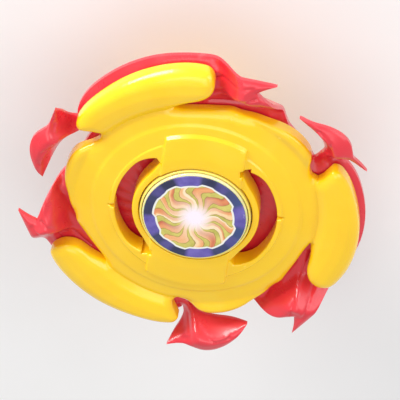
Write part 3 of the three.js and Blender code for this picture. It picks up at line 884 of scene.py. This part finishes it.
def window_polys():
    out = []
    for half in (0, 180):
        a0, a1 = WINDOW_ARC
        outer, inner = [], []
        n = 40
        for i in range(n + 1):
            s = i / n
            a = a0 + (a1 - a0) * s
            end = min(s, 1 - s) * 2
            taper = min(1.0, end * 3)
            outer.append(pol(WINDOW_R[1] - 1.3 * (1 - taper) ** 2, a + half))
            inner.append(pol(WINDOW_R[0] + 1.0 * (1 - taper) ** 2, a + half))
        out.append(outer + inner[::-1])
        out.append([pol(WINDOW_R[1] - 0.6, 3 + half), pol(WINDOW_R[1] + 1.2, 6 + half), pol(WINDOW_R[1] - 0.6, 9 + half)])
        out.append([
            pol(WINDOW_R[1] - 1.4, 50 + half), pol(WINDOW_R[1] - 0.4, 53.5 + half),
            pol(WINDOW_R[0] + 1.5, 58.5 + half), pol(WINDOW_R[0] + 0.6, 55 + half),
        ])
    return out


RING_PROFILE = np.array([
    (9.0, 32.7), (11.3, 32.7), (12.6, 32.6), (16.9, 32.2), (17.2, 31.9), (20.5, 31.6),
    (20.9, 31.3), (22.6, 31.2), (24.3, 30.9), (26.0, 31.6), (28.2, 31.9), (30.4, 31.8),
    (32.2, 31.3), (33.4, 30.6), (36.0, 29.9),
])


def ring_top(xy, d_out, d_win, d_bore):
    x, y = xy[:, 0], xy[:, 1]
    r = np.hypot(x, y)
    a = np.degrees(np.arctan2(y, x))
    z = np.interp(r, RING_PROFILE[:, 0], RING_PROFILE[:, 1])
    # raised band across the hub
    band = np.interp(r, [11.3, 13.6, 18.0, 19.2], [33.1, 33.05, 32.6, 32.3])
    f = smoothstep((BAND_HALF - np.abs(x)) / 0.45 + 0.5) * smoothstep((BAND_R - r) / 0.5 + 0.5)
    z = z * (1 - f) + band * f
    # a groove parts each blade's root from the plate
    s = np.mod(a + 76, 120) - 76  # angle in the first sector
    root = smoothstep((s + 15) / 4) * smoothstep((30 - s) / 4)
    z = z - 0.28 * np.exp(-(((r - 24.1) / 0.5) ** 2)) * root
    # each blade is a swelling bar that runs from the groove to the outer edge
    blade = smoothstep((r - 24.3) / 1.5) * smoothstep((s + 36) / 6) * smoothstep((34 - s) / 4)
    along = np.clip((s + 30) / 60, 0, 1)
    z = z + blade * 0.12 * np.sin(math.pi * along)
    # plate between the blades is dished a little
    plate = smoothstep((r - 19.5) / 2) * (1 - blade)
    z = z - 0.12 * plate * np.sin(np.clip((r - 19.5) / 6, 0, 1) * math.pi)
    z = z - round_off(d_out, 2.0, 1.25)
    z = z - round_off(d_win, 0.45, 0.4)
    z = z - round_off(d_bore, 0.25, 0.2)
    return np.minimum(z, 33.1)


def build_attack_ring():
    n = 180
    bore = circle(11.3, n)[::-1]
    loops = union_loops([blade_outline()], window_polys())
    outer = [lp for lp in loops if area(lp) > 0]
    wins = [lp for lp in loops if area(lp) < 0]
    outer = [dense(lp, 0.33) for lp in outer]
    wins = [dense(lp, 0.3) for lp in wins]
    all_loops = outer + wins + [bore]
    d_out, d_win, d_bore = Distance(outer), Distance(wins), Distance([bore])

    def top(xy):
        return ring_top(xy, d_out(xy), d_win(xy), d_bore(xy))

    def bottom(xy):
        d = np.minimum(d_out(xy), d_win(xy))
        return 28.0 + round_off(d, 0.3, 0.3)

    # the bore steps in to a ledge, with three slots that key the core
    low = []
    for x, y in bore:
        a = math.degrees(math.atan2(y, x)) % 360
        near = min(abs((a - k + 180) % 360 - 180) for k in KEYS)
        low.append(pol(11.28 if near < 13.2 else 9.9, a))
    levels = {len(all_loops) - 1: [(bore, 30.5), (low, 30.5), (low, 28.0)]}
    bands = [arcs(2.0, 7) for _ in outer] + [arcs(0.45, 4) for _ in wins] + [arcs(0.25, 3)]
    bands_b = [[0.1, 0.3] for _ in outer] + [[0.1, 0.3] for _ in wins] + [[]]
    extra = []
    for r in (16.7, 16.9, 17.2, 17.45, 20.3, 20.55, 20.9, 21.2, 23.3, 23.7, 24.1, 24.5, 24.9):
        m = int(2 * math.pi * r / 0.4)
        extra += [pol(r, 360 * k / m) for k in range(m)]
    for off in (-0.24, -0.1, 0.1, 0.24):
        for sx in (-1, 1):
            for y in np.arange(-18.8, 18.81, 0.3):
                if math.hypot(BAND_HALF, y) > 11.4:
                    extra.append((sx * (BAND_HALF + off), float(y)))
        m = int(2 * math.pi * BAND_R / 0.35)
        for k in range(m):
            p = pol(BAND_R + off, 360 * k / m)
            if abs(p[0]) < BAND_HALF + 0.5:
                extra.append(p)
    ob = slab("attack_ring_looks", all_loops, top, bottom, bands, bands_b, levels, h=0.5, hb=1.2, extra=extra)
    return finish_piece(ob, YELLOW, "crown", "yellow_plastic", "attack_ring")


# ----------------------------------------------------------------- flame ring
FLAME_PROFILE = np.array([
    (9.0, 27.0), (16.9, 27.0), (17.4, 27.7), (30.0, 27.7), (34.0, 27.35), (37.0, 26.7),
])
FLAME_LIFT, LIFT_START, LIFT_RUN, LIFT_R = 6.0, 0.5, 5.5, 25.3
GROOVES = [
    [(33.5, 100), (35.2, 90), (37.8, 81), (41.0, 75.0)],
    [(32.0, 92), (33.2, 81), (34.8, 71), (36.6, 65.0)],
    [(38.2, 96), (40.6, 86), (43.6, 77)],
    [(36.0, 34.5), (40.4, 38.5), (43.2, 44), (42.6, 50)],
    [(39.0, 33.6), (42.8, 35.4), (44.6, 32.5)],
]


def groove_points():
    pts = []
    for t in (0, 120, 240):
        for g in GROOVES:
            for (r0, a0), (r1, a1) in zip(g, g[1:]):
                for k in range(24):
                    s = k / 24
                    pts.append(pol((r0 + (r1 - r0) * s) * U, a0 + (a1 - a0) * s + t))
    return pts


def build_flame_ring():
    adds = [circle(33 * U, 240)]
    for t in (0, 120, 240):
        adds.append(ccw(soften(soften(at(WING, t)), 40)))
        adds.append(ccw(soften(soften(at(BIRD, t)), 40)))
    loops = union_loops(adds, [])
    outer = [dense(lp, 0.3) for lp in loops if area(lp) > 0]
    n = 180
    bore = circle(11.5, n)[::-1]
    holes = [circle(1.1, 32, *pol(20.3, a))[::-1] for a in KEYS]
    wide = [circle(1.95, 32, *pol(20.3, a))[::-1] for a in KEYS]
    all_loops = outer + [bore] + holes
    low_out = Distance(outer)
    d_bore = Distance([bore])
    blade = blade_outline()
    d_blade = Distance([dense(blade, 0.3)])

    def lift(xy):
        """Flames turn up as they leave the blades."""
        r = np.hypot(xy[:, 0], xy[:, 1])
        beyond = np.where(inside(xy, blade), 0.0, d_blade(xy))
        return FLAME_LIFT * smoothstep((beyond - LIFT_START) / LIFT_RUN) * smoothstep((r - LIFT_R) / 3.5)

    gp = groove_points()
    tree = kdtree.KDTree(len(gp))
    for i, p in enumerate(gp):
        tree.insert((p[0], p[1], 0), i)
    tree.balance()

    def top(xy):
        r = np.hypot(xy[:, 0], xy[:, 1])
        d = low_out(xy)
        z = np.interp(r, FLAME_PROFILE[:, 0], FLAME_PROFILE[:, 1])
        # bevelled flames: faces rise from every edge to a ridge
        rise = 26.25 + 0.6 * d + 0.12 * np.sin(np.clip(d / 1.2, 0, 1) * math.pi)
        k = 0.18  # softened where the faces meet
        hh = np.clip(0.5 + 0.5 * (z - rise) / k, 0, 1)
        blend = z * (1 - hh) + rise * hh - k * hh * (1 - hh)
        z = np.where(r > 21.5, blend, z)
        g = np.array([tree.find((p[0], p[1], 0))[2] for p in xy])
        z = z - 0.34 * np.exp(-((g / 0.36) ** 2)) * smoothstep((d - 0.25) / 0.6)
        # low ribs on the floor under the launcher windows
        a = np.arctan2(xy[:, 1], xy[:, 0])
        floor = smoothstep((16.6 - r) / 0.4) * smoothstep((r - 12.0) / 0.4)
        z = z - 0.12 * floor * (0.5 + 0.5 * np.cos(a * 36 + (r - 14) * 1.2))
        return np.minimum(z - round_off(d_bore(xy), 0.3, 0.25), 27.7) + lift(xy)

    def bottom(xy):
        r = np.hypot(xy[:, 0], xy[:, 1])
        z = np.interp(r, [11.5, 22.4, 23.2, 37.0], [22.3, 22.3, 24.6, 25.2])
        return z + round_off(low_out(xy), 0.35, 0.35) + lift(xy)

    levels = {}
    for i in range(3):
        levels[len(outer) + 1 + i] = [(holes[i], 24.4), (wide[i], 24.4), (wide[i], 22.3)]
    bands = [arcs(0.25, 2) + [0.5, 0.8, 1.15, 1.55, 2.0, 2.4] for _ in outer] + [arcs(0.3, 3)] + [[0.25]] * 3
    bands_b = [arcs(0.35, 3) + [0.8, 1.5, 2.4] for _ in outer] + [[0.3]] + [[0.25]] * 3
    extra = []
    for r in (16.75, 16.9, 17.05, 17.2, 17.4, 17.6):
        m = int(2 * math.pi * r / 0.4)
        extra += [pol(r, 360 * k / m) for k in range(m)]
    for p in gp[::2]:
        r = math.hypot(*p)
        a = math.degrees(math.atan2(p[1], p[0]))
        for dr in (-0.55, -0.28, 0.0, 0.28, 0.55):
            extra.append(pol(r + dr, a))
    extra_b = []
    for r in (22.3, 22.5, 23.1, 23.3):
        m = int(2 * math.pi * r / 0.6)
        extra_b += [pol(r, 360 * k / m) for k in range(m)]
    ob = slab("flame_ring_looks", all_loops, top, bottom, bands, bands_b, levels, h=0.42, hb=0.9, extra=extra, extra_b=extra_b)
    return finish_piece(ob, RED, "crown", "red_plastic", "flame_ring")


build_attack_ring()
build_flame_ring()


# ------------------------------------------------------------ emblem and lens
finish_piece(
    lathe("emblem_print", filleted([(0, 33.7), (10.1, 33.7), (10.1, 33.9), (0, 33.9)], [0, 0.03, 0.12, 0], 4), 192),
    EMBLEM, "crown", "emblem_print", "emblem_sticker",
)
finish_piece(
    lathe(
        "lens_cap",
        filleted(
            [(0, 31.2), (8.1, 31.2), (8.1, 31.6), (10.45, 31.6), (10.45, 33.65), (0, 33.65)],
            [0, 0.12, 0.08, 0.1, 0.34, 0], 6,
        ),
        160,
    ),
    LENS, "crown", "lens_plastic", "light_lens",
)


# ----------------------------------------------------------------------- core
def build_core():
    body = lathe(
        "core_sleeve",
        filleted(
            [
                (8.3, 11.3), (9.6, 11.3), (9.6, 30.6), (11.0, 30.6), (11.0, 33.2),
                (10.6, 33.2), (10.6, 31.5), (8.3, 31.5), (8.3, 25.2), (3.0, 25.2), (3.0, 24.4),
                (4.2, 24.4), (4.2, 13.5), (5.2, 13.5), (5.2, 24.4), (8.3, 24.4),
            ],
            [0.15, 0.2, 0.2, 0.1, 0.18, 0.12, 0.1, 0.15, 0.1, 0.1, 0.1, 0.1, 0.1, 0.1, 0.1, 0.1], 4,
        ),
        128,
    )
    adds = []
    for a in KEYS:
        adds.append(prism_part(sector_pts(9.1, 11.2, a - 11, a + 11), 12.9, 15.3))
        adds.append(prism_part(sector_pts(9.1, 11.2, a - 11, a + 11), 18.1, 30.3))
    for x in (-6.75, 6.75):
        adds.append(prism_part(circle(1.8, 40, x, 0), 13.0, 24.6))
    body = cut(body, cutter(adds), "UNION")
    cuts = [prism_part(circle(0.95, 28, x, 0), 12.5, 20.0) for x in (-6.75, 6.75)]
    cuts.append(bar(-1.3, 1.3, 6.4, 7.3, 24, 26))
    body = cut(body, cutter(cuts))
    return finish_piece(body, MILKY, "crown", "core_plastic", "core_housing")


build_core()


# ---------------------------------------------------------------- weight disc
def build_disc():
    r_out = 18.2
    poly = circle(r_out, 360)
    cuts = [circle(3.0, 64, *pol(r_out + 1.6, 30 + 60 * k)) for k in range(6)]
    loops = union_loops([poly], cuts)
    outer = [dense(lp, 0.35) for lp in loops if area(lp) > 0]
    bore = circle(11.5, 180)[::-1]
    d = Distance(outer)
    db = Distance([bore])

    def face(xy, up):
        r = np.hypot(xy[:, 0], xy[:, 1])
        # a shallow turned recess round each face
        dip = 0.22 * smoothstep((r - 12.6) / 0.25) * smoothstep((15.2 - r) / 0.25)
        e = np.clip(0.5 - d(xy), 0, 0.5) * 1.0 + np.clip(0.3 - db(xy), 0, 0.3) * 1.0 + dip
        return (22.0 - e) if up else (18.0 + e)

    ring_pts = []
    for r in (12.5, 12.6, 12.75, 12.9, 14.9, 15.05, 15.2, 15.35):
        m = int(2 * math.pi * r / 0.5)
        ring_pts += [pol(r, 360 * k / m) for k in range(m)]
    bands = [[0.25, 0.5]] * len(outer) + [[0.15, 0.3]]
    ob = slab(
        "weight_disc_looks", outer + [bore], lambda p: face(p, True), lambda p: face(p, False),
        bands, bands, h=0.9, hb=0.9, extra=ring_pts, extra_b=ring_pts,
    )
    ob.data.set_sharp_from_angle(angle=math.radians(28))
    return finish_piece(ob, DISC, "crown", "disc_steel", "weight_disc")


build_disc()


# ----------------------------------------------------------------- base shell
def build_base():
    flutes = [math.radians(15 + 30 * k) for k in range(12)]

    def shape(r, z, t):
        if r < 9 or z > 16.3 or z < 8.3:
            return r
        if r < 12.2 and z > 11.2:
            return r  # the inside wall
        # the outer wall is scooped where a finger grips
        for f in flutes:
            dt = math.atan2(math.sin(t - f), math.cos(t - f))
            if abs(dt) < 0.2:
                # depth of a 1.5 mm groove centred on 15.2 mm
                across = 15.2 * math.sin(dt)
                if abs(across) < 1.5:
                    limit = 15.2 * math.cos(dt) - math.sqrt(1.5**2 - across**2)
                    k = smoothstep(np.array([(16.3 - z) / 0.35]))[0]
                    if limit < r:
                        return r + (limit - r) * k
        return r

    outer = [
        (4.4, 4.3), (5.0, 4.8), (5.6, 6.2), (9.2, 8.2), (12.2, 10.6), (13.8, 13.6),
        (14.5, 16.4), (15.4, 16.8), (15.4, 17.7),
    ]
    inner = [
        (9.9, 17.7), (9.9, 15.6), (11.8, 15.6), (11.8, 12.2), (10.4, 10.8), (7.6, 8.0),
        (2.6, 8.0), (2.6, 4.3),
    ]
    profile = filleted(outer + inner, [0.3, 0.6, 0.7, 2.4, 3.0, 3.0, 0.5, 0.25, 0.25] + [0.2, 0.15, 0.15, 0.5, 0.6, 0.5, 0.15, 0.2], 6)
    # long straight runs need rings of their own, so that the flutes can shape them
    out = []
    for i, p in enumerate(profile):
        q = profile[(i + 1) % len(profile)]
        out.append(p)
        span = math.hypot(q[0] - p[0], q[1] - p[1])
        if p[0] > 12.0 and q[0] > 12.0 and span > 0.35 and p[1] < 17:
            m = int(span / 0.3)
            out += [(p[0] + (q[0] - p[0]) * k / m, p[1] + (q[1] - p[1]) * k / m) for k in range(1, m)]
    ob = lathe("base_cup", out, 240, shape=shape)
    cuts, adds = [], []
    for a in KEYS:
        cuts.append(prism_part(sector_pts(8.9, 11.6, a - 35 - 14, a - 35 + 14), 15.5, 18.7))
        adds.append(prism_part(sector_pts(10.3, 12.1, a + 12.5, a + 16.5, 3), 13.2, 15.8))
        adds.append(prism_part(sector_pts(10.3, 12.1, a - 35 - 19, a - 35 - 15, 3), 13.2, 15.8))
    ob = cut(ob, cutter(adds), "UNION")
    ob = cut(ob, cutter(cuts))
    return finish_piece(ob, YELLOW, "base", "yellow_plastic", "base_shell")


build_base()


# ------------------------------------------------------------------------ tip
finish_piece(
    lathe(
        "tip_moulding",
        filleted(
            [
                (0, 0), (3.6, 0), (4.1, 0.6), (4.2, 1.8), (3.7, 3.2), (3.3, 4.0), (2.3, 4.0),
                (2.3, 8.3), (1.25, 8.3), (1.25, 2.8), (0, 2.8),
            ],
            [0, 0.35, 0.5, 0.9, 0.6, 0.2, 0.15, 0.15, 0.1, 0.05, 0], 6,
        ),
        128,
    ),
    RED, "tip", "red_plastic", "spin_tip",
)
finish_piece(
    lathe("washer_ring", filleted([(1.3, 8.35), (4.2, 8.35), (4.2, 8.75), (1.3, 8.75)], 0.08, 3), 96),
    STEEL, "tip", "screw_steel", "tip_washer",
)


def cross_head(name, profile, centre, z0, z1, half, long, body, node, up=True, mat=STEEL):
    """A screw with a cross recess that narrows with depth."""
    ob = lathe(name, profile, 64, centre)
    cx, cy = centre
    parts = []
    for a, b in ((long, half), (half, long)):
        v, f = bar(cx - a, cx + a, cy - b, cy + b, z0, z1)
        k = 0.35 if up else -0.35
        deep = z0 if up else z1
        v = [
            (cx + (x - cx) * 0.55, cy + (y - cy) * 0.7, z) if abs(z - deep) < 1e-9 else (x, y, z)
            for x, y, z in v
        ]
        parts.append((v, f))
    tool = cutter([parts[0]])
    ob = cut(ob, tool)
    ob = cut(ob, cutter([parts[1]]))
    return finish_piece(ob, mat, body, "screw_steel", node)


def threaded(points, r_core, z0, z1, pitch, crest):
    """Profile points of a run of thread crests between two heights, rising or falling."""
    out = []
    n = int(abs(z1 - z0) / pitch)
    s = 1 if z1 > z0 else -1
    for k in range(n):
        z = z0 + s * pitch * k
        out += [(r_core, z), (crest, z + s * pitch * 0.35), (crest, z + s * pitch * 0.5), (r_core, z + s * pitch * 0.85)]
    return out


cross_head(
    "tip_screw_looks",
    filleted(
        [(0, 3.2), (0.3, 3.2), (0.82, 4.0)]
        + threaded([], 0.82, 4.1, 8.0, 0.55, 1.0)
        + [(1.0, 8.2), (1.0, 8.8), (2.2, 8.8), (2.2, 9.7), (1.6, 10.3), (0, 10.3)],
        0.05, 2,
    ),
    (0.0, 0.0), 9.55, 11.0, 0.25, 1.2, "tip", "tip_screw",
)
for i, a in enumerate(KEYS):
    cross_head(
        f"ring_screw_{i + 1}_looks",
        filleted(
            [(0, 22.5), (0.9, 22.5), (1.6, 23.0), (1.6, 24.3), (0.75, 24.3)]
            + threaded([], 0.6, 24.6, 29.2, 0.5, 0.75)
            + [(0.6, 29.4), (0.2, 30.3), (0, 30.3)],
            [0, 0.2, 0.25, 0.06] + [0.03] * 60, 3,
        ),
        pol(20.3, a), 22.0, 23.15, 0.2, 1.1, "crown", f"ring_screw_{i + 1}", up=False,
    )
for i, x in enumerate((-6.75, 6.75)):
    cross_head(
        f"door_screw_{i + 1}_looks",
        filleted(
            [(0, 11.55), (1.1, 11.55), (1.2, 11.65), (1.2, 12.0), (0.7, 12.0)]
            + threaded([], 0.55, 12.4, 17.4, 0.45, 0.7)
            + [(0.55, 17.5), (0.2, 18.4), (0, 18.4)],
            0.03, 2,
        ),
        (x, 0.0), 11.0, 11.85, 0.15, 0.75, "crown", f"door_screw_{i + 1}", up=False,
    )


# -------------------------------------------------------------- inner pieces
def build_door():
    ob = lathe("door_plate", filleted([(0, 11.5), (8.1, 11.5), (8.1, 12.8), (0, 12.8)], [0, 0.15, 0.15, 0], 3), 96)
    cuts = [prism_part(circle(1.0, 28, x, 0), 11, 13) for x in (-6.75, 6.75)]
    cuts += [prism_part(circle(1.3, 32, x, 0), 11.2, 12.1) for x in (-6.75, 6.75)]
    ob = cut(ob, cutter(cuts[:2]))
    ob = cut(ob, cutter(cuts[2:]))
    return finish_piece(ob, BLACK, "crown", "black_plastic", "battery_door")


build_door()

for k in range(3):
    z = 13.4 + k * 3.6
    finish_piece(
        lathe(
            f"button_cell_{k + 1}_looks",
            filleted(
                [
                    (0, z), (3.0, z), (3.2, z + 0.22), (3.35, z + 0.3), (3.5, z + 0.24), (3.75, z + 0.28),
                    (3.95, z + 0.5), (3.95, z + 3.25), (3.65, z + 3.55), (0, z + 3.55),
                ],
                [0, 0.1, 0.05, 0.03, 0.03, 0.08, 0.12, 0.2, 0.12, 0], 4,
            ),
            96,
        ),
        CELL, "crown", "cell_steel", f"button_cell_{k + 1}",
    )


def build_board():
    outer = circle(8.05, 120)
    hole = [(-1.0, 6.45), (-1.0, 7.25), (1.0, 7.25), (1.0, 6.45)]
    loops = [dense(ccw(outer), 0.5), dense(hole, 0.3)]
    d = Distance(loops[:1])
    ob = slab(
        "circuit_board_looks", loops, lambda p: 26.3 - round_off(d(p), 0.08, 0.08),
        lambda p: 25.3 + round_off(d(p), 0.08, 0.08), [[0.08], []], [[0.08], []], h=1.2, hb=1.2,
    )
    return finish_piece(ob, BOARD, "crown", "board_laminate", "circuit_board")


build_board()
finish_piece(
    lathe("chip_blob_looks", filleted([(0, 26.35), (1.9, 26.35), (1.8, 26.7), (1.35, 27.08), (0.7, 27.3), (0, 27.35)], [0, 0.05, 0.3, 0.4, 0.5, 0], 5), 64),
    RESIN, "crown", "black_resin", "chip_blob",
)


def build_resistor():
    cx, cy = pol(5.3, 210)
    verts, faces = [], []
    c, s = math.cos(math.radians(120)), math.sin(math.radians(120))
    for x0, x1, y, z0, z1 in ((-1.6, 1.6, 0.8, 26.35, 26.95),):
        v, f = bar(x0, x1, -y, y, z0, z1)
        verts += [(cx + x * c - yy * s, cy + x * s + yy * c, z) for x, yy, z in v]
        faces += f
    ob = mesh_object("limit_resistor_looks", verts, faces, sharp=30)
    b = ob.modifiers.new("edges", "BEVEL")
    b.width = 0.00009
    b.segments = 3
    weighted(ob)
    ends = Nodes("resistor_body")
    x, y, z = ends.xyz()
    dx, dy = ends.math("SUBTRACT", x, cx * MM), ends.math("SUBTRACT", y, cy * MM)
    along = ends.math("ABSOLUTE", ends.math("ADD", ends.math("MULTIPLY", dx, c), ends.math("MULTIPLY", dy, s)))
    cap = ends.span(along, 0.00112, 0.00118, 0.0, 1.0)
    ends.set(
        Base_Color=ends.mix(cap, ends.mix(ends.noise(900, 3), srgb(18, 18, 20), srgb(40, 40, 44)), (0.7, 0.7, 0.71)),
        Metallic=cap,
        Roughness=ends.span(ends.noise(800, 3), 0.3, 0.7, 0.25, 0.45),
        Normal=ends.bump(ends.noise(2500, 2), 0.00001, 0.5),
    )
    return finish_piece(ob, ends.mat, "crown", "black_resin", "limit_resistor")


build_resistor()
for i, a in enumerate((30, 150, 270)):
    dome = [(1.5 * math.cos(math.radians(t)), 29.4 + 1.5 * math.sin(math.radians(t))) for t in range(8, 90, 8)]
    profile = [(0, 26.35), (1.9, 26.35), (1.9, 27.2), (1.52, 27.22), (1.5, 27.5), (1.5, 29.4)] + dome + [(0, 30.9)]
    finish_piece(
        lathe(f"led_{i + 1}_looks", filleted(profile, [0, 0.1, 0.12, 0.05] + [0] * 30, 3), 64, pol(4.9, a)),
        LEDS[i], "crown", ("led_red", "led_white", "led_blue")[i], f"led_{i + 1}",
    )
finish_piece(
    lathe("switch_pin_looks", filleted([(0, 26.35), (0.6, 26.35), (0.6, 26.5), (0.28, 26.6), (0.28, 30.3), (0.18, 30.5), (0, 30.5)], [0, 0.03, 0.05, 0.06, 0.08, 0.05, 0], 3), 40, (0.0, 5.2)),
    BRASS, "crown", "contact_brass", "switch_pin",
)


def build_spring():
    """The switch's coil: a round wire wound at one even pitch."""
    r, wire, turns, z0, pitch = 1.15, 0.17, 6, 26.85, 0.57
    around, per = 14, 48
    n = turns * per
    verts, faces = [], []
    for i in range(n + 1):
        t = i / n
        a = 2 * math.pi * turns * t
        z = z0 + pitch * turns * t
        c = Vector((r * math.cos(a), 5.2 + r * math.sin(a), z))
        tangent = Vector((-r * math.sin(a), r * math.cos(a), pitch / (2 * math.pi))).normalized()
        u = Vector((math.cos(a), math.sin(a), 0.0))
        w = tangent.cross(u).normalized()
        for k in range(around):
            p = c + u * (wire * math.cos(2 * math.pi * k / around)) + w * (wire * math.sin(2 * math.pi * k / around))
            verts.append(tuple(p))
    for i in range(n):
        for k in range(around):
            j = (k + 1) % around
            faces.append((i * around + k, i * around + j, (i + 1) * around + j, (i + 1) * around + k))
    faces.append(tuple(range(around))[::-1])
    faces.append(tuple(n * around + k for k in range(around)))
    ob = mesh_object("switch_spring_looks", verts, faces, sharp=50)
    return finish_piece(ob, STEEL, "switch", "screw_steel", "switch_spring")


build_spring()
finish_piece(
    lathe("contact_positive_looks", filleted([(0, 24.25), (2.4, 24.25), (2.6, 24.45), (0.6, 24.6), (0.6, 25.2), (0, 25.2)], [0, 0.08, 0.05, 0.08, 0.06, 0], 3), 64),
    BRASS, "crown", "contact_brass", "battery_contact_positive",
)


def build_negative():
    ob = lathe("contact_negative_looks", filleted([(0, 12.95), (3.4, 12.95), (3.4, 13.25), (0, 13.25)], [0, 0.05, 0.05, 0], 3), 64)
    ob = cut(ob, cutter([bar(-0.9, 0.9, 2.5, 7.0, 12.95, 13.25)]), "UNION")
    ob = cut(ob, cutter([bar(-0.9, 0.9, 6.7, 7.0, 12.95, 26.2)]), "UNION")
    return finish_piece(ob, BRASS, "crown", "contact_brass", "battery_contact_negative")


build_negative()


# -------------------------------------------------------- floor, light, camera
def build_stage():
    me = bpy.data.meshes.new("floor")
    s = 3.0
    me.from_pydata([(-s, -s, 0), (s, -s, 0), (s, s, 0), (-s, s, 0)], [], [(0, 1, 2, 3)])
    floor = bpy.data.objects.new("floor", me)
    scene.collection.objects.link(floor)
    m = Nodes("floor_paper")
    m.set(
        Base_Color=m.mix(m.noise(30, 3), srgb(236, 235, 233), srgb(242, 241, 240)),
        Roughness=0.7,
        Specular_IOR_Level=0.2,
    )
    # the sheet shows from above only, so the underside of the top can be looked at
    geo = m.nt.nodes.new("ShaderNodeNewGeometry")
    clear = m.nt.nodes.new("ShaderNodeBsdfTransparent")
    both = m.nt.nodes.new("ShaderNodeMixShader")
    path = m.nt.nodes.new("ShaderNodeLightPath")
    # light reaches the flat of the tip too, which stands a hair above the sheet
    near = m.math("LESS_THAN", path.outputs["Ray Length"], 0.0003)
    m.nt.links.new(m.math("MAXIMUM", geo.outputs["Backfacing"], near), both.inputs[0])
    m.nt.links.new(m.bsdf.outputs[0], both.inputs[1])
    m.nt.links.new(clear.outputs[0], both.inputs[2])
    m.nt.links.new(both.outputs[0], m.out.inputs[0])
    me.materials.append(m.mat)
    floor.location.z = -0.00005


def area_light(name, where, look, size, power, colour=(1, 1, 1)):
    li = bpy.data.lights.new(name, "AREA")
    li.shape = "RECTANGLE"
    li.size, li.size_y = size
    li.energy = power
    li.color = colour
    ob = bpy.data.objects.new(name, li)
    scene.collection.objects.link(ob)
    ob.location = where
    d = Vector(look) - Vector(where)
    ob.rotation_euler = d.to_track_quat("-Z", "Y").to_euler()
    return ob


build_stage()
back = Vector((0.0, 0.6216, 0.7833)).normalized()
right0 = Vector((1, 0, 0))
up0 = back.cross(right0).normalized()
roll = math.radians(9.2)
# the camera looks from the +Y side with its own up turned over, as the top hangs in the photograph
right = math.cos(roll) * right0 + math.sin(roll) * up0
up = -math.sin(roll) * right0 + math.cos(roll) * up0
target = Vector((0.0005, -0.0005, 0.0275))
cam_data = bpy.data.cameras.new("camera")
cam_data.lens = 300
cam_data.sensor_width = 36
cam = bpy.data.objects.new("camera", cam_data)
scene.collection.objects.link(cam)
cam.matrix_world = Matrix(
    (
        (right.x, up.x, back.x, 0),
        (right.y, up.y, back.y, 0),
        (right.z, up.z, back.z, 0),
        (0, 0, 0, 1),
    )
)
cam.location = target + back * 0.66
cam_data.clip_start = 0.01
cam_data.clip_end = 10
scene.camera = cam


def towards(sx, sy, sb, far=0.55):
    """A place given on the picture's own axes: right, up and towards the camera."""
    v = (right * sx + up * sy + back * sb).normalized()
    return target + v * far


area_light("key", towards(-0.75, 0.75, 0.75), target, (0.30, 0.22), 3.0, (1.0, 0.985, 0.96))
area_light("fill", towards(0.9, 0.1, 0.9), target, (0.35, 0.35), 0.9, (0.95, 0.98, 1.0))
area_light("over", towards(0.0, -0.35, 1.0), target, (0.4, 0.3), 0.6)
world = bpy.data.worlds.new("studio")
scene.world = world
world.use_nodes = True
bg = world.node_tree.nodes["Background"]
bg.inputs[0].default_value = (0.93, 0.94, 0.96, 1)
bg.inputs[1].default_value = 0.70
scene.view_settings.view_transform = "Standard"
